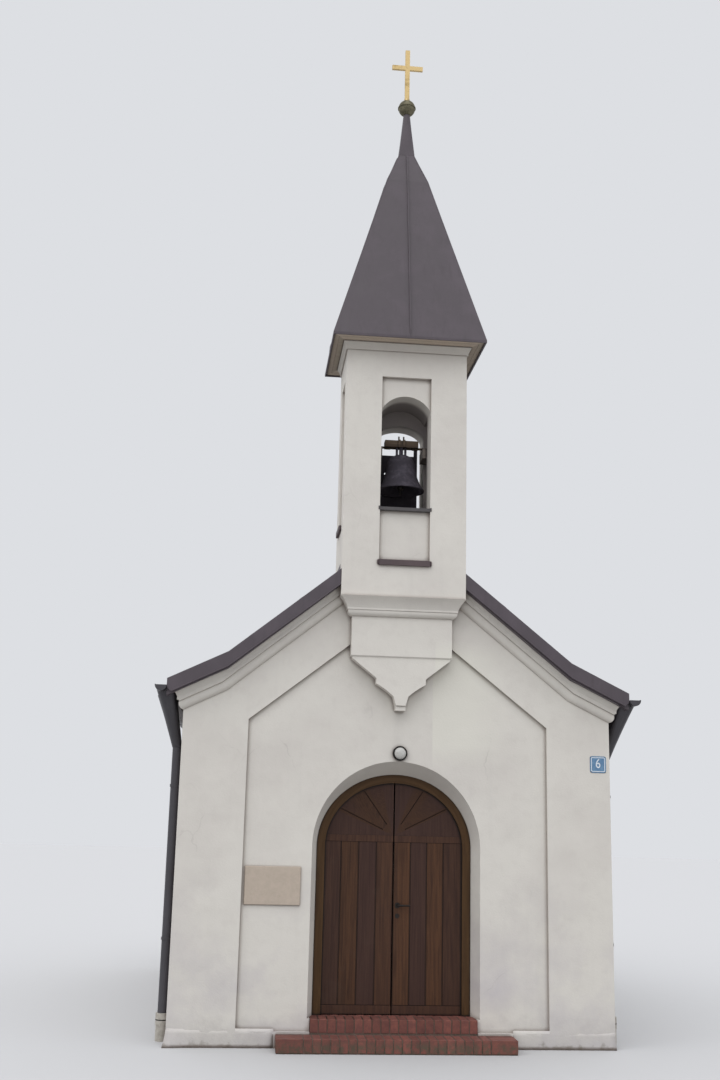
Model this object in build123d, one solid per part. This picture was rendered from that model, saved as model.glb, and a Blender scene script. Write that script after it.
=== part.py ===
# A small whitewashed village chapel with a bell turret on its front gable.
# Millimetres, +Z up, +X to the right of the front, +Y towards the back.
# The origin is the middle of the nave's plan at ground level.
from build123d import *
import math
import os

# Nave
nave_width = 4130
nave_depth = 5800
front_wall_thick = 600
wall_thick = 500
plinth_height = 140
field_depth = 40
field_margin = 620
field_shoulder_z = 2932
field_slope = 0.786

# Roof: an upper pitch and a flatter pitch towards the eaves, by the top surface
eave_overhang = 159
eave_top_z = 3268
flat_foot_run = 563
kink_z = 3542
ridge_z = 4880
roof_thick_z = 150
verge_overhang = 175
verge_thick = 25
verge_height = 140
verge_upstand = 8
ridge_cap_reach = 130
ridge_cap_thick = 8

# Cornice under the roof
cornice_drop = 195
cornice_ovolo_reach = 44
cornice_ovolo_height = 68
cornice_quirk = 16
cornice_fillet_reach = 62
cornice_fillet_height = 32
cornice_splay_reach = 52
cornice_splay_height = 86

# Doorway
door_half_width = 745
door_spring_z = 1770
door_rise = 685
reveal_depth = 240
reveal_splay = 55
reveal_splay_top = 118
frame_face = 80
frame_lip = 22
frame_overlap = 12
frame_depth = 82
inner_recess_side = 60
inner_recess_top = 110
leaf_thick = 54
leaf_clear = 8
leaf_front_clear = 6
leaf_meeting_gap = 12
hinge_pin_out = 6
hinge_pin_radius = 7
hinge_knuckle_length = 120
hinge_heights = (520, 1560)
rail_proud = 8
mid_rail_low_z = 1819
mid_rail_height = 61
bottom_rail_height = 78
handle_x = 45
handle_z = 1235
lever_reach = 118
lever_standoff = 48
lever_bend = 16
spindle_radius = 9
spindle_clear = 0.5
rose_radius = 24
rose_thick = 8
escutcheon_drop = 97

# Steps
threshold_z = 249
lower_step_z = 125
lower_step_half = 1085
lower_step_reach = 280
upper_step_inset = 25

# Turret, its corbel and its spire
tower_half_width = 610
tower_front_reach = 186
tower_base_z = 4130
tower_top_z = 6660
bell_floor_z = 5000
bell_spring_z = 6050
bell_opening_half = 250
bell_arch_rise = 152
rear_spring_z = 5888
rear_arch_rise = 150
chamber_half_x = 410
chamber_half_y = 118
niche_depth = 45
niche_top_z = 6390
niche_bottom_z = 4500
side_niche_half = 170
side_niche_drop = 125
shutter_top_z = 5777
shutter_slit = 36
shutter_thick = 25
shutter_post = 36
shutter_hole_x = -122
shutter_hole_z = 5578
shutter_hole_radius = 14
ledge_height = 56
ledge_reach = 26
sill_height = 45
sill_reach = 5
sill_run = 100
corbel_half = 490
corbel_reach = 106
corbel_top_z = 3945
corbel_bottom_z = 3552
corbel_splay = 14
pendant_bottom_z = 3050
pendant_tip_height = 46
pendant_tip_set_back = 16
tower_cornice_height = 80
tower_cornice_reach = 42
tower_cornice_step = 15
tower_cornice_lip = 10
spire_side_overhang = 165
spire_front_overhang = 220
spire_drip = 25
spire_shell = 30
spire_soffit_thick = 12
spire_neck_z = 9066
spire_neck_half = 84
spire_break_z = 8705
spire_break_half = 222
neck_top_z = 9590
neck_top_radius = 36
ball_radius = 92
ball_rim = 6
ball_rim_thick = 10
ball_flat = 3
cross_height = 631
cross_foot_height = 24
cross_arm_drop = 220
cross_arm_half = 170
cross_bar = 50
cross_thick = 28

# Bell
bell_axis_z = 5762
bell_mouth_z = 5300
bell_mouth_radius = 240
bell_crown_z = 5674
bell_crown_thick = 22
headstock_half = 172
headstock_height = 68
headstock_depth = 104
gudgeon_radius = 12
gudgeon_end = 290
bearer_inner_x = 208
bearer_width = 110
bearer_height = 100
bearer_drop = 28
bearing_clear = 0.5
strap_width = 24
strap_offset = 25
strap_thick = 8
clapper_rod = 300
clapper_rod_radius = 9
clapper_ball_radius = 34
clapper_tail = 60
clapper_tail_radius = 13

# Rainwater goods
gutter_radius = 55
gutter_wall = 5
gutter_top_z = 3212
pipe_radius = 45
pipe_outlet_shift = 8
pipe_wall_gap = 8
pipe_from_front = 330
pipe_neck_low_z = 2690
pipe_low_z = 215
standpipe_radius = 56
standpipe_top_z = 245
standpipe_ring = 4
standpipe_socket = 105
clip_heights = (900, 2300)
clip_height = 26

# Side windows
window_half = 300
window_sill_z = 1450
window_spring_z = 2050
window_set_back = 170
window_bar = 60
window_bar_depth = 64
glass_thick = 8
window_sill_thick = 50
window_sill_reach = 35

# Fittings on the front
lamp_radius = 70
lamp_depth = 88
lamp_x = 15
lamp_z = 2650
plaque_width = 518
plaque_height = 344
plaque_thick = 20
plaque_margin = 28
plaque_z = 1408
plate_width = 157
plate_height = 160
plate_thick = 6
plate_margin = 115
plate_z = 2597

# Clearance of pieces that are laid against one another
rest_gap = 0.3

half_width = nave_width / 2
front_y = -nave_depth / 2
back_y = nave_depth / 2
inner_x = half_width - wall_thick
field_y = front_y + field_depth
tower_front_y = front_y - tower_front_reach
tower_back_y = front_y + front_wall_thick
tower_depth = tower_back_y - tower_front_y
tower_mid_y = (tower_front_y + tower_back_y) / 2
frame_y = front_y + reveal_depth
frame_back_y = frame_y + frame_depth
upper_step_half = door_half_width + reveal_splay - upper_step_inset
eave_x = half_width + eave_overhang
kink_x = eave_x - flat_foot_run
field_half_width = half_width - field_margin
plaque_x = -(field_half_width - plaque_margin - plaque_width / 2)
plate_x = half_width - plate_margin
lower_pitch = (kink_z - eave_top_z) / (eave_x - kink_x)
upper_pitch = (ridge_z - kink_z) / kink_x


def roof_top(x):
    """Height of the roof's top surface at a distance x from the ridge line."""
    if abs(x) > kink_x:
        return kink_z - (abs(x) - kink_x) * lower_pitch
    return ridge_z - abs(x) * upper_pitch


def roof_under(x):
    """Height of the roof's under surface at a distance x from the ridge line."""
    return roof_top(x) - roof_thick_z


cornice_start_z = roof_under(half_width) - cornice_drop


def box(x0, x1, y0, y1, z0, z1):
    """A block between two corners."""
    size = (abs(x1 - x0), abs(y1 - y0), abs(z1 - z0))
    middle = ((x0 + x1) / 2, (y0 + y1) / 2, (z0 + z1) / 2)
    return Pos(*middle) * Box(*size)


def front_plane(y):
    """A drawing plane that faces the front, with X to the right and Z up."""
    return Plane(origin=(0, y, 0), x_dir=(1, 0, 0), z_dir=(0, -1, 0))


def side_plane(x):
    """A drawing plane across the building, with Y to the right and Z up."""
    return Plane(origin=(x, 0, 0), x_dir=(0, 1, 0), z_dir=(1, 0, 0))


def slab_y(points, y0, y1):
    """An outline of x, z points carried from y0 to y1."""
    face = front_plane(y1) * make_face(Polyline(*points, close=True))
    return extrude(face, y1 - y0)


def slab_x(points, x0, x1):
    """An outline of y, z points carried from x0 to x1."""
    face = side_plane(x0) * make_face(Polyline(*points, close=True))
    return extrude(face, x1 - x0)


def slab_z(points, z0, z1):
    """An outline of x, y points carried from z0 to z1."""
    face = Plane.XY.offset(z0) * make_face(Polyline(*points, close=True))
    return extrude(face, z1 - z0)


def round_head(half, bottom_z, spring_z, rise):
    """An upright outline with a half-ellipse head."""
    body = Pos(0, (bottom_z + spring_z) / 2) * Rectangle(2 * half, spring_z - bottom_z)
    head = Pos(0, spring_z) * Ellipse(half, rise)
    keep = Pos(0, spring_z + rise / 2 + 1) * Rectangle(2 * half + 2, rise + 2)
    return body + (head & keep)


def segment_head(half, bottom_z, spring_z, rise):
    """An upright outline with a flat round arch for a head."""
    arch = ThreePointArc((-half, spring_z), (0, spring_z + rise), (half, spring_z))
    legs = Polyline((half, spring_z), (half, bottom_z), (-half, bottom_z), (-half, spring_z))
    return make_face(arch + legs)


def mirrored(part):
    """The same piece on the other side of the middle plane."""
    return mirror(part, about=Plane.YZ)


# Doorway cuts
def doorway_cut():
    """The splayed arch, the frame's seat and the squarer recess on the room side."""
    outer = round_head(door_half_width + reveal_splay, threshold_z, door_spring_z,
                       door_rise + reveal_splay_top)
    seat_half = door_half_width + rest_gap
    seat_rise = door_rise + rest_gap
    seat = round_head(seat_half, threshold_z, door_spring_z, seat_rise)
    splay = loft([front_plane(field_y) * outer.face(), front_plane(frame_y) * seat.face()], ruled=True)
    mouth = extrude(front_plane(field_y) * outer.face(), field_depth + 1)
    seat_run = extrude(front_plane(frame_back_y) * seat.face(), frame_depth)
    room_half = door_half_width + inner_recess_side
    room_top = door_spring_z + door_rise + inner_recess_top
    room = box(-room_half, room_half, frame_back_y, front_y + front_wall_thick + 1, threshold_z, room_top)
    return splay + mouth + seat_run + room


def step_plan(clear):
    """Plan of the brickwork that fills the foot of the doorway."""
    splay_run = reveal_depth - field_depth
    narrow_y = field_y + splay_run * (reveal_splay + door_half_width - upper_step_half) / reveal_splay
    back_half = door_half_width + inner_recess_side
    right = [
        (upper_step_half - clear, front_y),
        (upper_step_half - clear, narrow_y),
        (door_half_width - clear, frame_y),
        (door_half_width - clear, frame_back_y),
        (back_half - clear, frame_back_y),
        (back_half - clear, front_y + front_wall_thick),
    ]
    left = [(-x, y) for x, y in reversed(right)]
    return right + left


def field_cut():
    """The shallow panel in the front between its plain margins."""
    shoulder_z = field_shoulder_z
    corbel_z = shoulder_z + (field_half_width - corbel_half) * field_slope
    points = [
        (-field_half_width, plinth_height),
        (field_half_width, plinth_height),
        (field_half_width, shoulder_z),
        (corbel_half, corbel_z),
        (corbel_half, corbel_top_z),
        (-corbel_half, corbel_top_z),
        (-corbel_half, corbel_z),
        (-field_half_width, shoulder_z),
    ]
    return slab_y(points, front_y - 1, field_y)


# Masonry
def front_pier(side):
    """The front wall beside the doorway, up to the spring of its arch."""
    x0, x1 = sorted((side * door_half_width * 0.5, side * half_width))
    wall = box(x0, x1, front_y, front_y + front_wall_thick, 0, door_spring_z)
    foot = slab_z(step_plan(0), -1, threshold_z)
    return wall - foot - doorway_cut() - field_cut()


def front_gable():
    """The front wall over the doorway, with the notch that the turret stands in."""
    z_side = roof_under(half_width) - rest_gap
    z_kink = roof_under(kink_x) - rest_gap
    z_tower = roof_under(tower_half_width) - rest_gap
    right = [
        (half_width, door_spring_z),
        (half_width, z_side),
        (kink_x, z_kink),
        (tower_half_width + rest_gap, z_tower),
        (tower_half_width + rest_gap, tower_base_z),
    ]
    points = right + [(-x, z) for x, z in reversed(right)]
    wall = slab_y(points, front_y, front_y + front_wall_thick)
    return wall - doorway_cut() - field_cut()


def rear_wall():
    """The plain back wall with its gable."""
    z_side = roof_under(half_width) - rest_gap
    z_kink = roof_under(kink_x) - rest_gap
    z_ridge = roof_under(0) - rest_gap
    points = [
        (-half_width, 0),
        (half_width, 0),
        (half_width, z_side),
        (kink_x, z_kink),
        (0, z_ridge),
        (-kink_x, z_kink),
        (-half_width, z_side),
    ]
    return slab_y(points, back_y - wall_thick, back_y)


def window_outline(half, sill_z):
    """Outline of a side window, drawn across the wall."""
    return round_head(half, sill_z, window_spring_z, half)


def side_wall(side):
    """A long wall with one round-headed window."""
    points = [
        (inner_x, 0),
        (half_width, 0),
        (half_width, roof_under(half_width) - rest_gap),
        (kink_x, roof_under(kink_x) - rest_gap),
        (inner_x, roof_under(inner_x) - rest_gap),
    ]
    wall = slab_y(points, front_y + front_wall_thick, back_y - wall_thick)
    light = extrude(side_plane(inner_x - 1) * window_outline(window_half, window_sill_z).face(), wall_thick + 2)
    wall = wall - light
    return wall if side > 0 else mirrored(wall)


def floor_slab():
    """The floor between the walls, from the ground to the threshold."""
    x = inner_x - rest_gap
    y0 = front_y + front_wall_thick + rest_gap
    y1 = back_y - wall_thick - rest_gap
    return box(-x, x, y0, y1, 0, threshold_z)


# Cornices
def cornice_steps():
    """Corner points of the cornice's section, as reach from the wall and height."""
    ovolo = (cornice_ovolo_reach, cornice_ovolo_height)
    quirk = (cornice_ovolo_reach, cornice_ovolo_height + cornice_quirk)
    fillet_low = (cornice_fillet_reach, quirk[1] + cornice_quirk / 4)
    fillet_top = (cornice_fillet_reach, fillet_low[1] + cornice_fillet_height)
    splay = (cornice_fillet_reach + cornice_splay_reach, fillet_top[1] + cornice_splay_height)
    return ovolo, quirk, fillet_low, fillet_top, splay


def cornice_section(top):
    """Section of the cornice: an ovolo, a quirk, a fillet and a splayed band."""
    ovolo, quirk, fillet_low, fillet_top, splay = cornice_steps()
    bulge = (ovolo[0] * 0.86, ovolo[1] * 0.42)
    roll = ThreePointArc((0, 0), bulge, ovolo)
    rest = Polyline(ovolo, quirk, fillet_low, fillet_top, splay, (splay[0], top), (0, top), (0, 0))
    return make_face(roll + rest)


def roof_underside(y0, y1, x_out):
    """The space under the roof, which the cornices are trimmed to."""
    points = [
        (0, 0),
        (x_out, 0),
        (x_out, roof_under(x_out) - rest_gap),
        (kink_x, roof_under(kink_x) - rest_gap),
        (0, roof_under(0) - rest_gap),
    ]
    return slab_y(points, y0, y1)


cornice_full_reach = cornice_fillet_reach + cornice_splay_reach


def eaves_cornice(side):
    """The cornice along a side wall, up to the roof."""
    x_out = half_width + rest_gap + cornice_full_reach
    plane = front_plane(back_y - rest_gap)
    section = Pos(half_width + rest_gap, cornice_start_z) * cornice_section(2 * cornice_drop)
    moulding = extrude(plane * section, nave_depth - 2 * rest_gap)
    part = moulding & roof_underside(front_y, back_y, x_out)
    return part if side > 0 else mirrored(part)


def rake_cornice(face_y, outward, inner_stop):
    """The right half of the cornice that climbs a gable in line with the roof, mitred at the eaves."""
    lead = 2 * cornice_full_reach
    y = face_y + outward * rest_gap
    path = Polyline(
        (half_width + lead, y, cornice_start_z - lead * lower_pitch),
        (kink_x, y, roof_under(kink_x) - cornice_drop),
        (inner_stop - lead, y, roof_under(kink_x) - cornice_drop + (kink_x - inner_stop + lead) * upper_pitch),
    )
    plane = Plane(origin=path @ 0, x_dir=(0, outward, 0), z_dir=path % 0)
    upside_down = plane.y_dir.Z < 0
    section = cornice_section(2 * cornice_drop)
    if upside_down:
        section = mirror(section, about=Plane.XZ)
    moulding = sweep(plane * section, path=path, transition=Transition.RIGHT)
    y0, y1 = sorted((face_y, face_y + outward * 2 * cornice_full_reach))
    x_out = half_width + rest_gap + cornice_full_reach
    returned = Pos(half_width + rest_gap, cornice_start_z) * cornice_section(2 * cornice_drop)
    end_form = extrude(front_plane(y1) * returned, y1 - y0)
    end_form = end_form + box(-half_width, half_width + rest_gap, y0, y1, 0, ridge_z)
    moulding = moulding & end_form & roof_underside(y0, y1, x_out)
    keep = box(inner_stop, x_out + 1, y0, y1, 0, ridge_z)
    return moulding & keep


def front_cornices():
    """Both raking cornices of the front, stopped against the turret's corbel."""
    right = rake_cornice(front_y, -1, corbel_half)
    corbel = corbel_moulding(rest_gap) + corbel_box(rest_gap)
    x = tower_half_width + rest_gap
    shaft = box(-x, x, tower_front_y, front_y, tower_base_z - rest_gap, ridge_z)
    right = right - corbel - shaft
    right = right.solids().sort_by(SortBy.VOLUME)[-1]
    return [right, mirrored(right)]


def rear_cornices():
    """Both raking cornices of the back, which meet under the ridge."""
    right = rake_cornice(back_y, 1, rest_gap / 2)
    return [right, mirrored(right)]


# Corbel under the turret
def corbel_box(clear=0):
    """The plain block that carries the turret's front, splayed at its foot."""
    front = front_y - corbel_reach
    half = corbel_half + clear
    block = box(-half, half, front, field_y - rest_gap, corbel_bottom_z, corbel_top_z)
    foot = block.faces().sort_by(Axis.Z)[0].edges()
    foot = foot - foot.sort_by(Axis.Y)[-1:]
    return chamfer(foot, corbel_splay)


def corbel_moulding(clear=0):
    """The moulding that spreads from the block to the turret's face: a bead, a fillet and a hollow."""
    height = tower_base_z - corbel_top_z
    spread = tower_half_width - corbel_half
    bead_reach = spread * 0.36
    bead_height = height * 0.32
    fillet_z = height * 0.42
    lip = bead_reach + spread * 0.06
    bead = ThreePointArc((0, 0), (bead_reach * 0.8, bead_height * 0.35), (bead_reach, bead_height))
    fillet = Polyline((bead_reach, bead_height), (lip, bead_height), (lip, fillet_z))
    hollow = ThreePointArc((lip, fillet_z), (spread * 0.62, height * 0.68), (spread, height))
    back = Polyline((spread, height), (-spread / 4, height), (-spread / 4, 0), (0, 0))
    section = make_face(bead + fillet + hollow + back)
    half = corbel_half + clear
    side_y = front_y - corbel_reach
    back_line = front_y - rest_gap
    path = Polyline(
        (-half, back_line, corbel_top_z),
        (-half, side_y, corbel_top_z),
        (half, side_y, corbel_top_z),
        (half, back_line, corbel_top_z),
    )
    plane = Plane(origin=path @ 0, x_dir=(-1, 0, 0), z_dir=(0, 1, 0))
    ring = sweep(plane * section, path=path, transition=Transition.RIGHT)
    return ring + box(-half, half, side_y, back_line, corbel_top_z, tower_base_z)


def corbel_pendant():
    """The flat tail under the block: a slope, a step, a hollow and a narrow drop."""
    w = corbel_half
    h = corbel_bottom_z - pendant_bottom_z

    def at(x, drop):
        return (w * x, corbel_bottom_z - h * drop)

    tip_z = pendant_bottom_z + pendant_tip_height
    shoulder = Polyline(at(0, 0), at(0.97, 0), at(0.97, 0.03), at(0.52, 0.37), at(0.49, 0.40), at(0.49, 0.50))
    hollow = ThreePointArc(at(0.49, 0.50), at(0.335, 0.59), at(0.147, 0.735))
    drop = Polyline(at(0.147, 0.735), at(0.10, 0.90), (w * 0.10, tip_z), (0, tip_z), at(0, 0))
    front = front_y - corbel_reach + corbel_splay
    back = field_y - rest_gap
    half = extrude(front_plane(back) * make_face(shoulder + hollow + drop), back - front)
    stub = box(-w * 0.10, w * 0.10, front + pendant_tip_set_back, back, pendant_bottom_z, tip_z)
    return half + mirrored(half) + stub


# Turret
def turret_mass():
    """The whole turret with its passage, its bell chamber and the shallow panels of its faces."""
    mass = box(-tower_half_width, tower_half_width, tower_front_y, tower_back_y, tower_base_z, tower_top_z)
    rear_face = tower_mid_y + chamber_half_y
    front_arch = segment_head(bell_opening_half, bell_floor_z, bell_spring_z, bell_arch_rise)
    mass = mass - extrude(front_plane(rear_face) * front_arch, rear_face - tower_front_y + 1)
    rear_arch = round_head(bell_opening_half, bell_floor_z, rear_spring_z, rear_arch_rise).face()
    mass = mass - extrude(front_plane(tower_back_y + 1) * rear_arch, tower_back_y + 1 - rear_face)
    mass = mass - box(-chamber_half_x, chamber_half_x, tower_mid_y - chamber_half_y, rear_face,
                      bell_floor_z, bell_spring_z)
    half = bell_opening_half
    front_niche = box(-half, half, tower_front_y - 1, tower_front_y + niche_depth, niche_bottom_z, niche_top_z)
    rear_niche = box(-half, half, tower_back_y - niche_depth, tower_back_y + 1, bell_floor_z, niche_top_z)
    mass = mass - front_niche - rear_niche
    y0 = tower_mid_y - side_niche_half
    y1 = tower_mid_y + side_niche_half
    for side in (-1, 1):
        x0, x1 = sorted((side * (tower_half_width - niche_depth), side * (tower_half_width + 1)))
        mass = mass - box(x0, x1, y0, y1, side_niche_z, niche_top_z)
    return mass


side_niche_z = bell_floor_z - side_niche_drop


def turret_part(mass, y0, y1, z0, z1):
    """One mason's lift of the turret, between two depths and two heights."""
    part = mass & box(-tower_half_width, tower_half_width, y0, y1, z0, z1)
    return list(part.solids())


def turret_lifts():
    """The turret split into its shaft, jambs, side walls and arched head."""
    mass = turret_mass()
    front_line = tower_mid_y - chamber_half_y
    rear_line = tower_mid_y + chamber_half_y
    lifts = {
        "tower_base": turret_part(mass, tower_front_y, tower_back_y, tower_base_z, bell_floor_z),
        "tower_front_jambs": turret_part(mass, tower_front_y, front_line, bell_floor_z, bell_spring_z),
        "tower_side_walls": turret_part(mass, front_line, rear_line, bell_floor_z, bell_spring_z),
        "tower_rear_jambs": turret_part(mass, rear_line, tower_back_y, bell_floor_z, rear_spring_z),
    }
    over_front = box(-tower_half_width, tower_half_width, tower_front_y, rear_line, bell_spring_z, tower_top_z)
    over_rear = box(-tower_half_width, tower_half_width, rear_line, tower_back_y, rear_spring_z, tower_top_z)
    lifts["tower_head"] = list((mass & (over_front + over_rear)).solids())
    return lifts


def tower_cornice():
    """The hollow moulding between the turret and its spire."""
    height = tower_cornice_height
    reach = tower_cornice_reach
    step = tower_cornice_step
    lip = tower_cornice_lip
    low = Polyline((0, 0), (step, 0), (step, lip))
    hollow_middle = (step + (reach - step) * 0.34, height * 0.6)
    hollow = ThreePointArc((step, lip), hollow_middle, (reach, height - lip))
    top = Polyline((reach, height - lip), (reach, height), (-reach, height), (-reach, 0), (0, 0))
    section = make_face(low + hollow + top)
    x = tower_half_width
    path = Polyline(
        (0, tower_front_y, tower_top_z),
        (x, tower_front_y, tower_top_z),
        (x, tower_back_y, tower_top_z),
        (-x, tower_back_y, tower_top_z),
        (-x, tower_front_y, tower_top_z),
        close=True,
    )
    plane = Plane(origin=path @ 0, x_dir=(0, -1, 0), z_dir=(-1, 0, 0))
    ring = sweep(plane * section, path=path, transition=Transition.RIGHT)
    inner = x - reach / 2
    core = box(-inner, inner, tower_front_y + reach / 2, tower_back_y - reach / 2, tower_top_z, tower_top_z + height)
    return ring + core


def sill_block(y_face, inward, run):
    """A sloped metal-clad sill in the foot of a bell opening."""
    y_front = y_face - inward * sill_reach
    y_back = y_front + inward * run
    points = [
        (y_front, bell_floor_z),
        (y_front, bell_floor_z + sill_height * 0.7),
        (y_back, bell_floor_z + sill_height),
        (y_back, bell_floor_z),
    ]
    half = bell_opening_half - rest_gap
    return slab_x(points, -half, half)


def ledge(face, foot_z, half):
    """The sloped ledge at the foot of a shallow panel, drawn facing the front."""
    front = face - ledge_reach
    back = face + niche_depth - rest_gap
    points = [
        (face - rest_gap, foot_z - ledge_height),
        (front, foot_z - ledge_height),
        (front, foot_z - ledge_height * 0.05),
        (back, foot_z + ledge_height * 0.25),
        (back, foot_z + rest_gap),
        (face - rest_gap, foot_z + rest_gap),
    ]
    return slab_x(points, -half + rest_gap, half - rest_gap)


def tower_ledges():
    """The ledges of the front panel and of both side panels."""
    side = Rot(0, 0, 90) * ledge(-tower_half_width, side_niche_z, side_niche_half)
    right = Pos(0, tower_mid_y, 0) * side
    return [ledge(tower_front_y, niche_bottom_z, bell_opening_half), right, mirrored(right)]


def rear_shutter():
    """The boards that close the foot of the rear opening, on a post that leaves a slit beside it."""
    y1 = tower_back_y - niche_depth - rest_gap
    x0 = -bell_opening_half + rest_gap
    x1 = bell_opening_half - shutter_slit
    floor = bell_floor_z + rest_gap
    boards = box(x0, x1, y1 - shutter_thick, y1, floor, shutter_top_z)
    boards = boards + box(x1 - shutter_post, x1, y1 - shutter_thick, y1, floor, rear_spring_z)
    hole = Rot(90, 0, 0) * Cylinder(shutter_hole_radius, 4 * shutter_thick)
    return boards - Pos(shutter_hole_x, y1 - shutter_thick / 2, shutter_hole_z) * hole


# Roof
def roof_side(side):
    """One slope of the nave roof with its flatter foot, cut round the turret."""
    right = [(eave_x, eave_top_z), (kink_x, kink_z), (0, ridge_z)]
    under = [(0, roof_under(0)), (kink_x, roof_under(kink_x)), (eave_x, roof_under(eave_x))]
    y0 = front_y - verge_overhang + verge_thick
    y1 = back_y + verge_overhang - verge_thick
    slope = slab_y(right + under, y0, y1)
    x = tower_half_width + rest_gap
    notch = box(-x, x, y0 - 1, tower_back_y + rest_gap, eave_top_z, ridge_z + 1)
    part = slope - notch
    return part if side > 0 else mirrored(part)


def ridge_cap():
    """The folded sheet over the ridge, from the turret to the back."""
    reach = ridge_cap_reach
    t = ridge_cap_thick
    gap = rest_gap
    points = [
        (reach, roof_top(reach) + gap),
        (reach, roof_top(reach) + gap + t),
        (0, ridge_z + gap + t + 10),
        (-reach, roof_top(reach) + gap + t),
        (-reach, roof_top(reach) + gap),
        (0, ridge_z + gap),
    ]
    return slab_y(points, tower_back_y + gap, back_y + verge_overhang - verge_thick)


def verge_board(y0, y1, inner_stop):
    """The right half of the sheet-covered board that closes the roof's end."""
    up = verge_upstand
    top = [(eave_x, eave_top_z + up), (kink_x, kink_z + up)]
    top.append((inner_stop, roof_top(inner_stop) + up))
    low = [(inner_stop, roof_top(inner_stop) + up - verge_height - 12)]
    low.append((kink_x, kink_z + up - verge_height))
    low.append((eave_x - 40, roof_top(eave_x - 40) + up - verge_height))
    low.append((eave_x, eave_top_z + up - verge_height * 0.62))
    return slab_y(top + low, y0, y1)


def front_verges():
    """Both verge boards of the front, stopped at the turret."""
    y1 = front_y - verge_overhang + verge_thick - rest_gap
    right = verge_board(y1 - verge_thick, y1, tower_half_width + rest_gap)
    return [right, mirrored(right)]


def rear_verges():
    """Both verge boards of the back."""
    y0 = back_y + verge_overhang - verge_thick + rest_gap
    right = verge_board(y0, y0 + verge_thick, rest_gap / 2)
    return [right, mirrored(right)]


# Spire
spire_half_x = tower_half_width + spire_side_overhang
spire_half_y = tower_depth / 2 + spire_front_overhang
soffit_z = tower_top_z + tower_cornice_height
eave_plate_z = soffit_z + spire_soffit_thick


def plan_rect(half_x, half_y, z):
    """A level rectangle round the turret's axis."""
    return Pos(0, tower_mid_y, z) * Rectangle(2 * half_x, 2 * half_y)


def spire_plan(z, inset):
    """The spire's level section at a height, set in from its faces."""
    if z < spire_break_z:
        share = (z - eave_plate_z) / (spire_break_z - eave_plate_z)
        half = spire_half_x + (spire_break_half - spire_half_x) * share
    else:
        share = (z - spire_break_z) / (spire_neck_z - spire_break_z)
        half = spire_break_half + (spire_neck_half - spire_break_half) * share
    return plan_rect(half - inset, half * spire_half_y / spire_half_x - inset, z)


def spire_stages(inset, top_z):
    """The tall foot of the spire and its flatter point, as one solid."""
    waist = spire_plan(spire_break_z, inset)
    foot = loft([spire_plan(eave_plate_z, inset), waist], ruled=True)
    return foot + loft([waist, spire_plan(top_z, inset)], ruled=True)


def spire():
    """The four-sided spire's boarded shell, with a drip edge round its foot."""
    outer = spire_stages(0, spire_neck_z)
    inner = spire_stages(spire_shell, spire_neck_z - 4 * spire_shell)
    lip_z = eave_plate_z - spire_drip
    lip = extrude(plan_rect(spire_half_x, spire_half_y, lip_z), spire_drip)
    lip = lip - extrude(plan_rect(spire_half_x - 14, spire_half_y - 14, lip_z), spire_drip)
    return outer - inner + lip


def spire_soffit():
    """The boards that close the spire's foot over the turret."""
    clear = 14 + rest_gap
    plate = plan_rect(spire_half_x - clear, spire_half_y - clear, soffit_z + rest_gap)
    return extrude(plate, spire_soffit_thick - 2 * rest_gap)


def spire_cap():
    """The sheet neck over the spire's point, square at its foot and round under the ball."""
    base_z = spire_neck_z + rest_gap
    hem = spire_neck_half * 0.15
    depth = spire_neck_half * spire_half_y / spire_half_x
    foot = extrude(plan_rect(spire_neck_half, depth, base_z), hem)
    round_top = Pos(0, tower_mid_y, neck_top_z) * Circle(neck_top_radius)
    neck = loft([plan_rect(spire_neck_half, depth, base_z + hem), round_top])
    return foot + neck


ball_z = neck_top_z + rest_gap + ball_radius - ball_flat


def spire_ball():
    """The ball made of two pressed halves, with their rim, seated flat at its foot and top."""
    ball = Sphere(ball_radius)
    rim = Cylinder(ball_radius + ball_rim, ball_rim_thick)
    keep = Box(4 * ball_radius, 4 * ball_radius, 2 * (ball_radius - ball_flat))
    return Pos(0, tower_mid_y, ball_z) * ((ball + rim) & keep)


def spire_cross():
    """The plain cross of flat bars, welded to a foot on the ball."""
    foot_z = ball_z + ball_radius - ball_flat + rest_gap
    cross_top_z = foot_z + cross_height
    cross_arm_z = cross_top_z - cross_arm_drop
    y0 = tower_mid_y - cross_thick / 2
    y1 = tower_mid_y + cross_thick / 2
    shaft = box(-cross_bar / 2, cross_bar / 2, y0, y1, foot_z, cross_top_z)
    arms = box(-cross_arm_half, cross_arm_half, y0, y1, cross_arm_z - cross_bar / 2, cross_arm_z + cross_bar / 2)
    foot = Pos(0, tower_mid_y, foot_z + cross_foot_height / 2) * Cylinder(cross_bar * 0.6, cross_foot_height)
    return shaft + arms + foot


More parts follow.
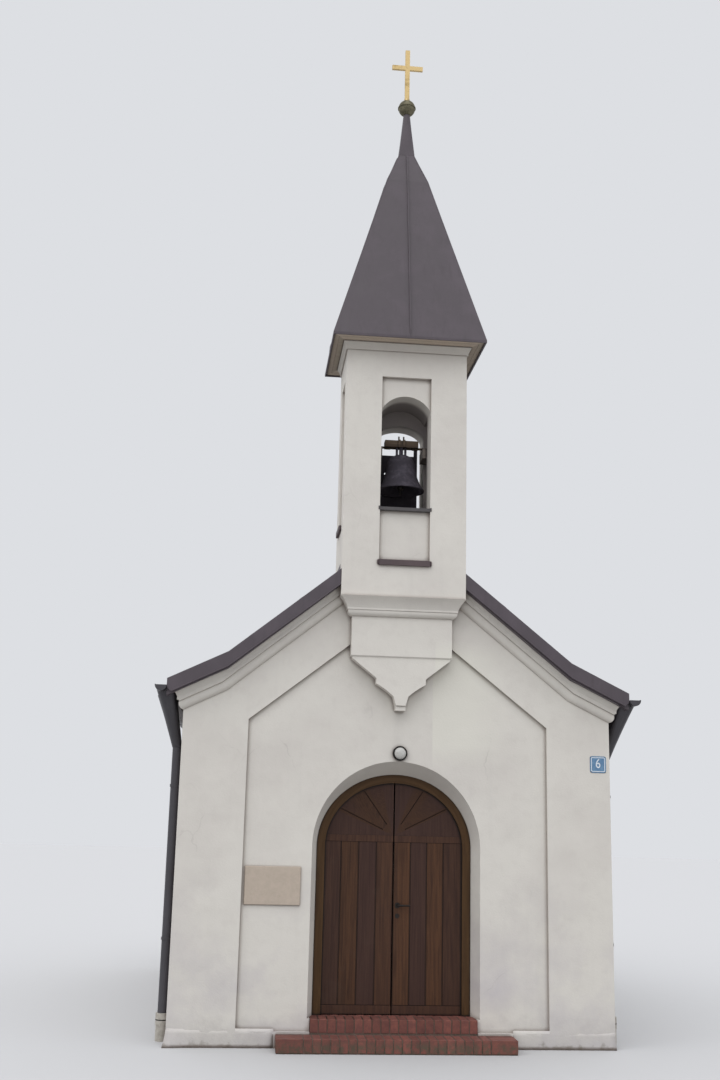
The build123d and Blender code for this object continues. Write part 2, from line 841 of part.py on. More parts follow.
# Bell
def bell():
    """The cast bell with its crown loops."""
    r = bell_mouth_radius
    top = bell_crown_z
    height = top - bell_mouth_z
    lip = (r, bell_mouth_z)
    outer = Spline((r, bell_mouth_z + 10), (r * 0.86, bell_mouth_z + height * 0.16),
                   (r * 0.68, bell_mouth_z + height * 0.46), (r * 0.60, bell_mouth_z + height * 0.78))
    shoulder = Polyline((r * 0.60, bell_mouth_z + height * 0.78), (r * 0.50, bell_mouth_z + height * 0.93),
                        (r * 0.30, top), (0, top))
    inner_top = top - bell_crown_thick
    axis_line = Polyline((0, top), (0, inner_top), (r * 0.10, inner_top), (r * 0.40, inner_top - 18))
    inner = Spline((r * 0.40, inner_top - 18), (r * 0.55, bell_mouth_z + height * 0.55),
                   (r * 0.70, bell_mouth_z + height * 0.20), (r * 0.90, bell_mouth_z))
    rim = Polyline((r * 0.90, bell_mouth_z), lip, (r, bell_mouth_z + 10))
    face = Plane.XZ * make_face(outer + shoulder + axis_line + inner + rim)
    body = Pos(0, tower_mid_y, 0) * revolve(face, Axis.Z)
    loop_top = bell_axis_z - rest_gap
    crown = Pos(0, tower_mid_y, (top + loop_top) / 2 - 4) * Box(34, 60, loop_top - top + 8)
    for side in (-1, 1):
        loop = Pos(side * 44, tower_mid_y, (top + loop_top) / 2 - 6) * Box(20, 40, loop_top - top + 12)
        crown = crown + loop
    return body + crown


def bell_clapper():
    """The clapper that hangs in the bell."""
    top_z = bell_crown_z - bell_crown_thick - rest_gap
    low_z = top_z - clapper_rod
    ball_low_z = low_z - clapper_ball_radius / 3
    rod = Pos(0, tower_mid_y, (top_z + low_z) / 2) * Cylinder(clapper_rod_radius, clapper_rod)
    ball = Pos(0, tower_mid_y, ball_low_z) * Sphere(clapper_ball_radius)
    tail_z = ball_low_z - clapper_ball_radius - clapper_tail / 4
    tail = Pos(0, tower_mid_y, tail_z) * Cylinder(clapper_tail_radius, clapper_tail)
    return rod + ball + tail


def bell_headstock():
    """The wooden headstock with its iron straps, bolts and gudgeons."""
    low = bell_axis_z
    high = low + headstock_height
    half_y = headstock_depth / 2
    beam = box(-headstock_half, headstock_half, tower_mid_y - half_y, tower_mid_y + half_y, low, high)
    part = beam
    for side in (-1, 1):
        x0 = side * strap_offset - strap_width / 2
        x1 = side * strap_offset + strap_width / 2
        t = strap_thick
        strap = box(x0, x1, tower_mid_y - half_y - t, tower_mid_y + half_y + t, low, high + t)
        bolt = Pos(side * strap_offset, tower_mid_y, high + 28) * Cylinder(8, 56)
        part = part + strap + bolt
        pin_length = gudgeon_end - headstock_half + 40
        middle = side * (gudgeon_end - pin_length / 2)
        pin = Pos(middle, tower_mid_y, bell_axis_z) * Rot(0, 90, 0) * Cylinder(gudgeon_radius, pin_length)
        plate = box(*sorted((side * (headstock_half - 60), side * headstock_half)),
                    tower_mid_y - 20, tower_mid_y + 20, low - 14, low)
        part = part + pin + plate
    return part


def bell_bearer(side):
    """A timber between the front and rear walls, with the iron saddle that a gudgeon turns in."""
    x0 = bearer_inner_x
    x1 = x0 + bearer_width
    y0 = tower_mid_y - chamber_half_y + rest_gap
    y1 = tower_mid_y + chamber_half_y - rest_gap
    beam_top = bell_axis_z - bearer_drop
    beam = box(x0, x1, y0, y1, beam_top - bearer_height, beam_top)
    saddle_x0 = x0 + strap_thick
    saddle_x1 = x1 - strap_thick
    saddle_half = 3 * gudgeon_radius
    saddle = box(saddle_x0, saddle_x1, tower_mid_y - saddle_half, tower_mid_y + saddle_half,
                 beam_top, bell_axis_z + gudgeon_radius / 3)
    bore = Rot(0, 90, 0) * Cylinder(gudgeon_radius + bearing_clear, 2 * bearer_width)
    saddle = saddle - Pos((x0 + x1) / 2, tower_mid_y, bell_axis_z) * bore
    part = beam + saddle
    return part if side > 0 else mirrored(part)


# Door
def door_frame():
    """The fixed arched frame, with the lip that the leaves close against."""
    half = door_half_width
    rise = door_rise
    outer = round_head(half, threshold_z + rest_gap, door_spring_z, rise)
    lip_half = half - frame_face
    lip_rise = rise - frame_face
    seat_half = lip_half + frame_overlap + leaf_clear
    seat_rise = lip_rise + frame_overlap + leaf_clear
    low = threshold_z - 1
    lip_hole = round_head(lip_half, low, door_spring_z, lip_rise)
    seat_hole = round_head(seat_half, low, door_spring_z, seat_rise)
    body = extrude(front_plane(frame_back_y) * outer.face(), frame_depth)
    lip_cut = extrude(front_plane(frame_back_y) * lip_hole.face(), frame_depth + 1)
    seat_cut = extrude(front_plane(frame_back_y + 1) * seat_hole.face(), frame_depth - frame_lip + 1)
    return body - lip_cut - seat_cut


leaf_half = door_half_width - frame_face + frame_overlap
leaf_rise = door_rise - frame_face + frame_overlap
leaf_front_y = frame_y + frame_lip + leaf_front_clear
leaf_back_y = leaf_front_y + leaf_thick
leaf_low_z = threshold_z + leaf_clear
hinge_x = leaf_half + 4
hinge_y = leaf_back_y + hinge_pin_out


def leaf_shell(y0, y1, low_z):
    """The right half of the arched door between two depths."""
    outline = round_head(leaf_half, low_z, door_spring_z, leaf_rise)
    whole = extrude(front_plane(y1) * outline.face(), y1 - y0)
    keep = box(leaf_meeting_gap / 2, leaf_half + 1, y0 - 1, y1 + 1, low_z - 1, door_spring_z + door_half_width + 1)
    return whole & keep


def door_leaf(side):
    """A boarded leaf with its foot rail and middle rail, and its hinge straps' knuckles."""
    leaf = leaf_shell(leaf_front_y + rail_proud, leaf_back_y, leaf_low_z)
    rails = leaf_shell(leaf_front_y, leaf_front_y + rail_proud, leaf_low_z)
    foot = box(0, leaf_half + 1, leaf_front_y - 1, leaf_back_y, leaf_low_z - 1, leaf_low_z + bottom_rail_height)
    middle = box(0, leaf_half + 1, leaf_front_y - 1, leaf_back_y, mid_rail_low_z,
                 mid_rail_low_z + mid_rail_height)
    part = leaf + (rails & foot) + (rails & middle)
    if side > 0:
        bore = Rot(90, 0, 0) * Cylinder(spindle_radius + spindle_clear, 4 * leaf_thick)
        return part - Pos(handle_x, leaf_back_y, handle_z) * bore
    return mirrored(part)


def door_hinges(side):
    """Two pin hinges at the room-side edge of a leaf, fixed to the frame."""
    part = []
    for height in hinge_heights:
        barrel = Pos(hinge_x, hinge_y, height) * Cylinder(hinge_pin_radius, hinge_knuckle_length)
        x_seat = door_half_width - 12
        plate = box(hinge_x, x_seat, frame_back_y + rest_gap, frame_back_y + rest_gap + 6,
                    height - hinge_knuckle_length / 2, height + hinge_knuckle_length / 2)
        piece = barrel + plate
        part.append(piece if side > 0 else mirrored(piece))
    return part


def door_handle():
    """The lever set: one bent round bar on each face, joined by the spindle through the leaf."""
    part = None
    for way, face in ((-1, leaf_front_y + rail_proud), (1, leaf_back_y)):
        y_in = (leaf_front_y + leaf_back_y) / 2
        y_out = face + way * lever_standoff
        path = FilletPolyline(
            (handle_x, y_in, handle_z),
            (handle_x, y_out, handle_z),
            (handle_x + lever_reach, y_out, handle_z),
            radius=lever_bend,
        )
        lever = sweep(Plane(origin=path @ 0, z_dir=path % 0) * Circle(spindle_radius), path=path)
        part = lever if part is None else part + lever
    return part


def door_roses():
    """The round roses and keyhole plates fixed on both faces of the right leaf."""
    parts = []
    for way, face in ((-1, leaf_front_y + rail_proud), (1, leaf_back_y)):
        y = face + way * (rose_thick / 2 + rest_gap)
        disc = Cylinder(rose_radius, rose_thick)
        ring = disc - Cylinder(spindle_radius + 1, rose_thick * 2)
        parts.append(Pos(handle_x, y, handle_z) * Rot(90, 0, 0) * ring)
        plate = Cylinder(rose_radius * 0.85, rose_thick)
        parts.append(Pos(handle_x, y, handle_z - escutcheon_drop) * Rot(90, 0, 0) * plate)
    return parts


# Steps
def lower_step():
    """The wide brick step in front of the wall."""
    return box(-lower_step_half, lower_step_half, front_y - lower_step_reach, front_y - rest_gap, 0, lower_step_z)


def upper_step():
    """The brick step that fills the foot of the doorway."""
    return slab_z(step_plan(rest_gap), 0, threshold_z)


# Rainwater goods
def gutter(side):
    """A half-round gutter with closed ends, hung on the roof's edge."""
    centre_x = eave_x + rest_gap + gutter_radius
    y0 = front_y - verge_overhang - 20
    length = back_y + verge_overhang + 20 - y0
    disc = Circle(gutter_radius)
    hollow = Circle(gutter_radius - gutter_wall)
    low_half = Pos(0, -gutter_radius) * Rectangle(4 * gutter_radius, 2 * gutter_radius)
    plane = front_plane(y0 + length)
    trough = extrude(plane * (Pos(centre_x, gutter_top_z) * ((disc - hollow) & low_half)), length)
    cap_face = Pos(centre_x, gutter_top_z) * (disc & low_half)
    front_cap = extrude(front_plane(y0 + gutter_wall) * cap_face, gutter_wall)
    back_cap = extrude(plane * cap_face, gutter_wall)
    part = trough + front_cap + back_cap
    return part if side > 0 else mirrored(part)


def downpipe(side):
    """A downpipe with its swan neck from the gutter, and its wall clips."""
    x_top = eave_x + rest_gap + gutter_radius + pipe_outlet_shift
    x_low = half_width + pipe_wall_gap + pipe_radius
    y = front_y + pipe_from_front
    z_top = gutter_top_z - gutter_radius - rest_gap
    lean = (x_top - x_low) / (z_top - pipe_neck_low_z)
    path = FilletPolyline(
        (x_top + lean * pipe_radius, y, z_top + pipe_radius),
        (x_low, y, pipe_neck_low_z),
        (x_low, y, pipe_low_z),
        radius=80,
    )
    section = Plane(origin=path @ 0, z_dir=path % 0) * Circle(pipe_radius)
    reach = 4 * pipe_radius
    over = box(x_top - reach, x_top + reach, y - reach, y + reach, z_top, z_top + reach)
    part = sweep(section, path=path) - over
    for height in clip_heights:
        collar = Pos(x_low, y, height) * Cylinder(pipe_radius + 6, clip_height)
        stub = box(half_width + rest_gap, x_low, y - 12, y + 12, height - clip_height / 2, height + clip_height / 2)
        part = part + collar + stub
    return part if side > 0 else mirrored(part)


def standpipe(side):
    """The cast foot that takes the downpipe at the ground."""
    x = half_width + pipe_wall_gap + pipe_radius
    y = front_y + pipe_from_front
    tube = Pos(x, y, standpipe_top_z / 2) * Cylinder(standpipe_radius, standpipe_top_z)
    ring_z = standpipe_top_z - standpipe_socket / 2
    ring = Pos(x, y, ring_z) * Cylinder(standpipe_radius + standpipe_ring, standpipe_socket)
    foot_top = pipe_low_z - rest_gap
    bore_mid = (foot_top + standpipe_top_z + 1) / 2
    bore = Pos(x, y, bore_mid) * Cylinder(pipe_radius + rest_gap, standpipe_top_z + 1 - foot_top)
    reach = 3 * standpipe_radius
    wall_side = box(half_width - reach, half_width + rest_gap, y - reach, y + reach, -1, standpipe_top_z + 1)
    part = tube + ring - bore - wall_side
    return part if side > 0 else mirrored(part)


# Side windows
def window_frame(side):
    """The wooden frame of a side window with one upright and one cross bar."""
    outer = window_outline(window_half - rest_gap, window_sill_z + rest_gap)
    inner = window_outline(window_half - window_bar, window_sill_z + window_bar)
    x0 = half_width - window_set_back - window_bar_depth
    ring = extrude(side_plane(x0) * outer.face(), window_bar_depth)
    ring = ring - extrude(side_plane(x0 - 1) * inner.face(), window_bar_depth + 2)
    y = window_bar / 4
    x1 = x0 + window_bar_depth
    low = window_sill_z + window_bar - 5
    high = window_spring_z + window_half - window_bar + 5
    glass_x0 = (x0 + x1) / 2 + glass_thick / 2 + rest_gap
    upright = box(glass_x0, x1, -y, y, low, high)
    side_y = window_half - window_bar + 5
    cross = box(glass_x0, x1, -side_y, side_y, window_spring_z - y, window_spring_z + y)
    part = ring + upright + cross
    return part if side > 0 else mirrored(part)


def window_glass(side):
    """The pane inside the frame."""
    clear = rest_gap
    pane = window_outline(window_half - window_bar - clear, window_sill_z + window_bar + clear)
    x_mid = half_width - window_set_back - window_bar_depth / 2
    part = extrude(side_plane(x_mid - glass_thick / 2) * pane.face(), glass_thick)
    return part if side > 0 else mirrored(part)


def window_sill(side):
    """The stone sill laid in the foot of a window, which throws the rain clear."""
    x_back = half_width - window_set_back + rest_gap
    x_front = half_width + window_sill_reach
    z = window_sill_z
    points = [
        (x_back, z + rest_gap),
        (half_width + rest_gap, z + rest_gap),
        (half_width + rest_gap, z - window_sill_thick),
        (x_front, z - window_sill_thick),
        (x_front, z),
        (x_back, z + window_sill_thick * 0.5),
    ]
    half = window_half - rest_gap
    part = slab_y(points, -half, half)
    return part if side > 0 else mirrored(part)


# Fittings
def wall_lamp():
    """The round bulkhead lamp over the doorway."""
    y = field_y - rest_gap
    points = [
        (0, 0),
        (lamp_radius, 0),
        (lamp_radius, 34),
        (lamp_radius - 12, 46),
        (lamp_radius - 16, 46),
        (lamp_radius - 24, lamp_depth - 14),
        (0, lamp_depth),
    ]
    face = make_face(Polyline(*points, close=True))
    plane = Plane(origin=(0, 0, 0), x_dir=(1, 0, 0), z_dir=(0, 0, 1))
    solid = revolve(plane * face, Axis.Y)
    return Pos(lamp_x, y, lamp_z) * Rot(180, 0, 0) * solid


def plaque():
    """A bare stone tablet beside the door."""
    y1 = field_y - rest_gap
    x0 = plaque_x - plaque_width / 2
    z0 = plaque_z - plaque_height / 2
    tablet = box(x0, x0 + plaque_width, y1 - plaque_thick, y1, z0, z0 + plaque_height)
    return chamfer(tablet.faces().sort_by(Axis.Y)[0].edges(), 4)


def number_plate():
    """The small enamelled plate at the right corner."""
    y1 = front_y - rest_gap
    outline = RectangleRounded(plate_width, plate_height, 14)
    face = front_plane(y1) * (Pos(plate_x, plate_z) * outline)
    return extrude(face, plate_thick)


def save(name, parts):
    """Write one node, whose solids don't touch one another."""
    solids = parts if isinstance(parts, list) else [parts]
    shapes = []
    for piece in solids:
        shapes.extend(piece.solids())
    node = shapes[0] if len(shapes) == 1 else Compound(children=shapes)
    node.label = name
    export_step(node, f"parts/{name}.step")


def both(make):
    """A piece on the right and its like on the left."""
    return [make(1), make(-1)]


os.makedirs("parts", exist_ok=True)

save("floor_slab", floor_slab())
save("front_wall_left", front_pier(-1))
save("front_wall_right", front_pier(1))
save("front_gable", front_gable())
save("left_wall", side_wall(-1))
save("right_wall", side_wall(1))
save("rear_wall", rear_wall())
save("front_cornices", front_cornices())
save("rear_cornices", rear_cornices())
save("eaves_cornices", both(eaves_cornice))
save("corbel_box", corbel_box())
save("corbel_moulding", corbel_moulding())
save("corbel_pendant", corbel_pendant())
for lift_name, lift_solids in turret_lifts().items():
    save(lift_name, lift_solids)
save("tower_cornice", tower_cornice())
save("bell_sills", [sill_block(tower_front_y, 1, sill_run), sill_block(tower_back_y, -1, sill_reach + niche_depth)])
save("tower_ledges", tower_ledges())
save("rear_shutter", rear_shutter())
save("roof_left", roof_side(-1))
save("roof_right", roof_side(1))
save("ridge_cap", ridge_cap())
save("front_verges", front_verges())
save("rear_verges", rear_verges())
save("spire", spire())
save("spire_soffit", spire_soffit())
save("spire_cap", spire_cap())
save("spire_ball", spire_ball())
save("spire_cross", spire_cross())
save("gutters", both(gutter))
save("downpipes", both(downpipe))
save("standpipes", both(standpipe))
save("lower_step", lower_step())
save("upper_step", upper_step())
save("door_frame", door_frame())
save("door_leaf_left", door_leaf(-1))
save("door_leaf_right", door_leaf(1))
save("door_hinges", door_hinges(-1) + door_hinges(1))
save("door_roses", door_roses())
save("door_handle", door_handle())
save("window_frames", both(window_frame))
save("window_glass", both(window_glass))
save("window_sills", both(window_sill))
save("wall_lamp", wall_lamp())
save("plaque", plaque())
save("number_plate", number_plate())
save("bell", bell())
save("bell_clapper", bell_clapper())
save("bell_headstock", bell_headstock())
save("bell_bearers", both(bell_bearer))
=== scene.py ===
# %% [markdown]
# # A whitewashed village chapel, dressed in Blender
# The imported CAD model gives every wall, roof and moving part its true shape. This script
# loads it, then adds what a CAD model leaves out: how each surface was made and how it has
# aged, and the small pieces that a roofer, a joiner or a bricklayer would add on site.

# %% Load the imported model
import math
import random

import bmesh
import bpy
from mathutils import Matrix, Vector


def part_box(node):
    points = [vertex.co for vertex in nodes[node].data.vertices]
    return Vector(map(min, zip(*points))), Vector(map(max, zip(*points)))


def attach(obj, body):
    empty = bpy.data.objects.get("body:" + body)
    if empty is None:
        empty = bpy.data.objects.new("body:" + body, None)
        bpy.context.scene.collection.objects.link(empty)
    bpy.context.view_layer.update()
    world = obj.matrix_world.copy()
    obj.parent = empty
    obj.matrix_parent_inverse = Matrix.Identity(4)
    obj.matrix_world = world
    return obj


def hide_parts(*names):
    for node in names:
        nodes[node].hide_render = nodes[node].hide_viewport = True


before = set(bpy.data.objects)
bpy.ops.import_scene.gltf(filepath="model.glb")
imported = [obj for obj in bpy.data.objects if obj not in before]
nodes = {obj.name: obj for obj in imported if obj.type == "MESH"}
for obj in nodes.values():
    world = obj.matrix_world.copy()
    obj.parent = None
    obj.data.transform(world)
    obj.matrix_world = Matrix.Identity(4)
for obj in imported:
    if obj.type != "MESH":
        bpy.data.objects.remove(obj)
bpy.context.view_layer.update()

# %% [markdown]
# ## Places that many pieces share
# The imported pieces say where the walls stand, so these places are measured on them. All are
# in metres. Y runs from the front of the chapel to its back, and Z runs up.

# %% Measure the chapel
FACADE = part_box("front_gable")[0][1]        # the front of the margins of the wall
FIELD = FACADE + 0.04                       # the front of the shallow panel in the wall
ARCH_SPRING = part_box("front_gable")[0][2]   # the height at which the doorway's arch starts
WALL_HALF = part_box("right_wall")[1][0]
TURRET_LOW, TURRET_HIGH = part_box("tower_base")
TURRET_FRONT, TURRET_BACK = TURRET_LOW[1], TURRET_HIGH[1]
TURRET_MIDDLE = (TURRET_FRONT + TURRET_BACK) / 2
CORNERS = ((-1, -1), (1, -1), (1, 1), (-1, 1))
print("facade", round(FACADE, 3), "turret's middle", round(TURRET_MIDDLE, 3))

# %% [markdown]
# ## The camera
# A person stands a little left of the door and looks up at the turret, so the camera is at
# eye height, tilted up, and turned and rolled by a few degrees. The lens comes from the same
# fit: a picture 36 mm high on the sensor, seen through about 40 mm. An unturned camera looks
# straight down, so it is rolled first, then tilted up past the horizon, then turned.

# %% Place the camera
CAMERA_PLACE = Vector((-1.513, -14.514, 2.049))
CAMERA_TURN = math.radians(5.364)
CAMERA_TILT = math.radians(12.925)
CAMERA_ROLL = math.radians(1.390)

lens = bpy.data.cameras.new("camera")
lens.sensor_fit = "VERTICAL"
lens.sensor_width = 24
lens.sensor_height = 36
lens.lens = 40.19
lens.clip_end = 500
camera = bpy.data.objects.new("camera", lens)
camera.matrix_world = (Matrix.Translation(CAMERA_PLACE) @ Matrix.Rotation(-CAMERA_TURN, 4, "Z")
                       @ Matrix.Rotation(math.radians(90) + CAMERA_TILT, 4, "X")
                       @ Matrix.Rotation(CAMERA_ROLL, 4, "Z"))
bpy.context.scene.collection.objects.link(camera)
bpy.context.scene.camera = camera
print("camera at", [round(v, 3) for v in camera.location])

# %% [markdown]
# ## Colours and nodes
# Colours are picked as sRGB hex codes, the way a paint chart gives them, but shaders work
# with linear light, so one function turns the one into the other. Another feeds the inputs
# of a node, with a number, a colour or a link, and a third adds a node and feeds it, which
# keeps each material short to read. An input is found by its name among those that the node
# uses in its present mode, because a Mix node, for one, has an A and a B for numbers, for
# vectors and for colours.

# %% Colour and node helpers
def linear(hex_code):
    """An sRGB hex colour as the linear RGBA that a shader uses."""
    parts = [int(hex_code[i:i + 2], 16) / 255 for i in (1, 3, 5)]
    return [v / 12.92 if v <= 0.04045 else ((v + 0.055) / 1.055) ** 2.4 for v in parts] + [1.0]


def feed(tree, node, feeds):
    """Gives each named input a value, or a link from a socket or from a node's first output."""
    for name, value in feeds.items():
        socket = node.inputs[name] if isinstance(name, int) else next(
            s for s in node.inputs if s.enabled and s.name == name)
        if isinstance(value, bpy.types.Node):
            value = next(s for s in value.outputs if s.enabled)
        if isinstance(value, bpy.types.NodeSocket):
            tree.links.new(value, socket)
        else:
            socket.default_value = value


def add(tree, kind, feeds=None, **settings):
    """Adds one shader node with its settings, then feeds its inputs."""
    node = tree.nodes.new("ShaderNode" + kind)
    for name, value in settings.items():
        setattr(node, name, value)
    feed(tree, node, feeds or {})
    return node


def start_material(name, **values):
    """A new material, its node tree, its shader and the object coordinates, in metres."""
    made = bpy.data.materials.new(name)
    made.use_nodes = True
    tree = made.node_tree
    shader = tree.nodes["Principled BSDF"]
    feed(tree, shader, {socket.replace("_", " "): value for socket, value in values.items()})
    print("material", name)
    return made, tree, shader, add(tree, "TexCoord").outputs["Object"]


# %% [markdown]
# ## Layers of tint and relief
# Every weathered surface here is built in the same way, as a painter would glaze it. Over a
# base colour lie thin tints, and each tint shows where some measure, such as a noise or the
# height over the ground, passes from one value to another. Several such ranges in one layer
# are multiplied, so the tint shows only where all of them do. Reliefs are stacked likewise,
# from the broad waves down to the grain, and each bump starts from the one before it.

# %% Layer helpers
def lay_tints(tree, tint, *layers):
    """Lays tints over a tint. A layer is a colour, its strength, and (measure, none, full) ranges."""
    for paint, strength, *ranges in layers:
        mask = None
        for measure, none, full in ranges:
            part = add(tree, "MapRange",
                       {"Value": measure, "From Min": none, "From Max": full, "To Max": strength})
            mask = add(tree, "Math", {0: mask, 1: part}, operation="MULTIPLY") if mask else part
            strength = 1.0
        tint = add(tree, "Mix", {"Factor": mask, "A": tint, "B": linear(paint)}, data_type="RGBA")
    return tint


def finish_surface(tree, shader, tint, roughness, *reliefs):
    """Wires the last tint, the roughness and the reliefs, each a height, a depth and a strength."""
    under = {}
    for height, depth, strength in reliefs:
        bump = add(tree, "Bump", {"Height": height, "Distance": depth, "Strength": strength, **under})
        under = {"Normal": bump}
    feed(tree, shader, {"Base Color": tint, "Roughness": roughness, **under})


# %% [markdown]
# ## Floor, light and backdrop
# The building is judged on its own, so it stands on a plain pale floor in the light of a
# dull day, which is brighter from overhead than from the side. That is what shades the
# undersides of the mouldings softly. One broad, weak lamp from the upper left adds a little
# direction. The background is a pale colour that only the camera, reflections and glass
# see, so that it adds no light to the walls.

# %% Build the studio
FLOOR_HALF = 60

floor_mesh = bpy.data.meshes.new("studio_floor")
floor_mesh.from_pydata([(x * FLOOR_HALF, y * FLOOR_HALF, 0) for x, y in CORNERS], [], [(0, 1, 2, 3)])
floor = bpy.data.objects.new("studio_floor", floor_mesh)
bpy.context.scene.collection.objects.link(floor)
floor_paint, tree, shader, place = start_material("studio_paper", Roughness=0.9)
path = add(tree, "LightPath").outputs
looked_at = add(tree, "Math", {0: path["Is Camera Ray"], 1: path["Is Glossy Ray"]}, operation="MAXIMUM")
paper = add(tree, "Mix", {"Factor": looked_at, "A": linear("#8E8D8B"), "B": linear("#B7B7B8")},
            data_type="RGBA")
feed(tree, shader, {"Base Color": paper})
floor_mesh.materials.append(floor_paint)

world = bpy.data.worlds.new("dull_daylight")
bpy.context.scene.world = world
world.use_nodes = True
day = world.node_tree
day.nodes.clear()
path = add(day, "LightPath").outputs
seen = add(day, "Math", {0: path["Is Camera Ray"], 1: path["Is Glossy Ray"]}, operation="MAXIMUM")
seen = add(day, "Math", {0: seen, 1: path["Is Transmission Ray"]}, operation="MAXIMUM")
overhead = add(day, "TexCoord").outputs["Generated"]
overhead = add(day, "SeparateXYZ", {0: overhead}).outputs["Z"]
brightness = add(day, "MapRange", {"Value": overhead, "To Min": 0.89, "To Max": 1.68})
lit = add(day, "Background", {"Color": linear("#F4F6FA"), "Strength": brightness})
pale = add(day, "Background", {"Color": linear("#DDDFE3"), "Strength": 1.0})
both = add(day, "MixShader", {0: seen, 1: lit, 2: pale})
add(day, "OutputWorld", {"Surface": both})

SUN_FROM = Vector((-0.40, -0.62, 1.05))
sun_data = bpy.data.lights.new("broad_lamp", "SUN")
sun_data.energy = 0.9
sun_data.angle = math.radians(75)
sun_data.color = (1.0, 0.985, 0.96)
sun = bpy.data.objects.new("broad_lamp", sun_data)
sun.rotation_euler = SUN_FROM.to_track_quat("Z", "Y").to_euler()
bpy.context.scene.collection.objects.link(sun)
bpy.context.scene.view_settings.view_transform = "Standard"
print("studio ready")

# %% [markdown]
# ## Lime render
# The walls are rubble or brick, covered with a lime render that was laid on with a trowel
# and then brushed with several coats of whitewash. That leaves a wall that is almost white,
# gently uneven at arm's length, softly brushed close up and matt. Age adds the rest, layer
# by layer: faint streaks where rain ran down, a grey foot where it splashes back, damp
# clouds low down, a line of soil, a mended patch with a straight edge between the corbel
# and the door, and a few hairline cracks. On top lie dirt with painted shade in the corners,
# and painted shade inside the bell chamber.

# %% Make the lime render
CLOUD_SIZE = 0.8        # metres across the broad clouds in the whitewash
MOTTLE_SIZE = 0.11      # metres across its smaller spots
STREAK_WIDE, STREAK_LONG = 1 / 9, 1 / 0.55      # metres across and down a streak of rain
CRACK_GAP, CRACK_BEND = 1 / 0.9, 1 / 3          # metres between cracks, and between their bends
TROWEL_WAVE = 0.42      # metres between the hollows that a trowel leaves
BRUSH_MARK = 0.018      # metres across a whitewash brush mark
SAND_GRAIN = 0.005      # real sand is 2 mm; drawn coarser so that it shows at all
SPLASH_HEIGHT = 0.30    # metres that rain splashes up the wall
CORNER_DIRT_AND_SHADE = 0.055     # metres from a corner in which dirt gathers and painted shade falls
SHADED_CHAMBER_HALF = 0.5      # metres to each side of the bell, short of the turret's outer faces, in which the chamber's painted shade lies
SHADED_CHAMBER_FLOOR = TURRET_HIGH[2] - 0.01

lime_render, tree, shader, place = start_material("lime_render", Specular_IOR_Level=0.25)
axes = add(tree, "SeparateXYZ", {0: place}).outputs
across, back, height = axes["X"], axes["Y"], axes["Z"]
cloud = add(tree, "TexNoise", {"Vector": place, "Scale": 1 / CLOUD_SIZE, "Detail": 5.0, "Roughness": 0.6})
mottle = add(tree, "TexNoise",
             {"Vector": place, "Scale": 1 / MOTTLE_SIZE, "Detail": 4.0, "Roughness": 0.65})
drawn_down = add(tree, "Mapping",
                 {"Vector": place, "Scale": (1 / STREAK_WIDE, 1 / STREAK_WIDE, 1 / STREAK_LONG)})
streak = add(tree, "TexNoise", {"Vector": drawn_down, "Scale": 1.0, "Detail": 3.0})
uneven = add(tree, "Math", {0: mottle, 1: -0.26}, operation="MULTIPLY")
foot = add(tree, "Math", {0: height, 1: uneven}, operation="ADD")
wobble = add(tree, "TexNoise", {"Vector": place, "Scale": 1 / CRACK_BEND, "Detail": 3.0}).outputs["Color"]
bent = add(tree, "VectorMath", {0: wobble, "Scale": 0.35}, operation="SCALE")
bent = add(tree, "VectorMath", {0: place, 1: bent}, operation="ADD")
cracks = add(tree, "TexVoronoi", {"Vector": bent, "Scale": 1 / CRACK_GAP}, feature="DISTANCE_TO_EDGE")
corner = add(tree, "AmbientOcclusion", {"Distance": CORNER_DIRT_AND_SHADE}, samples=8).outputs["AO"]
beside = add(tree, "Math", {0: across}, operation="ABSOLUTE")
behind = add(tree, "Math", {0: back, 1: TURRET_MIDDLE}, operation="SUBTRACT")
behind = add(tree, "Math", {0: behind}, operation="ABSOLUTE")
tint = lay_tints(
    tree, linear("#D4D0C9"),
    ("#CCC7C1", 1.0, (cloud, 0.42, 0.72)),
    ("#C4BEB8", 0.35, (mottle, 0.5, 0.8)),
    ("#B9B6B1", 0.16, (streak, 0.58, 0.8)),
    ("#A5A09F", 0.6, (foot, SPLASH_HEIGHT - 0.14, -0.12)),
    ("#BDB8BC", 0.75, (height, 1.6, 0.5), (cloud, 0.42, 0.72)),
    ("#6F6757", 0.65, (foot, -0.10, -0.145)),
    ("#D7D4CB", 1.0, (across, 0.325, 0.337), (across, 1.1, 0.7), (height, 3.75, 3.6),
     (height, 2.5, 2.75), (back, FACADE + 0.15, FACADE + 0.149)),
    ("#77726C", 0.16, (cracks, 0.0055, 0.001), (cloud, 0.56, 0.64)),
    # Dirt and painted shade: the render darkens where Ambient Occlusion finds a corner.
    ("#7F726A", 0.75, (corner, 0.86, 0.42)),
    # Painted shade: the inside of the bell chamber, above its floor, is darkened.
    ("#918A88", 1.0, (behind, 0.2, 0.12), (beside, SHADED_CHAMBER_HALF, SHADED_CHAMBER_HALF - 0.001),
     (height, SHADED_CHAMBER_FLOOR, SHADED_CHAMBER_FLOOR + 0.001)),
)
wave = add(tree, "TexNoise", {"Vector": place, "Scale": 1 / TROWEL_WAVE, "Detail": 2.0})
brush = add(tree, "TexNoise", {"Vector": place, "Scale": 1 / BRUSH_MARK, "Detail": 3.0, "Distortion": 0.6})
grain = add(tree, "TexNoise", {"Vector": place, "Scale": 1 / SAND_GRAIN, "Detail": 2.0})
finish_surface(tree, shader, tint, 0.92, (wave, 0.028, 0.55), (brush, 0.0022, 0.5), (grain, 0.0007, 0.5))

# %% [markdown]
# ## Painted sheet steel
# The spire, the roof and the verges are clad with steel sheet, painted a dark brown-grey.
# Rolled sheet is never quite flat between its seams, so it shows broad soft waves, and the
# paint has dulled to a satin with paler patches where it has chalked. Grime runs down it.

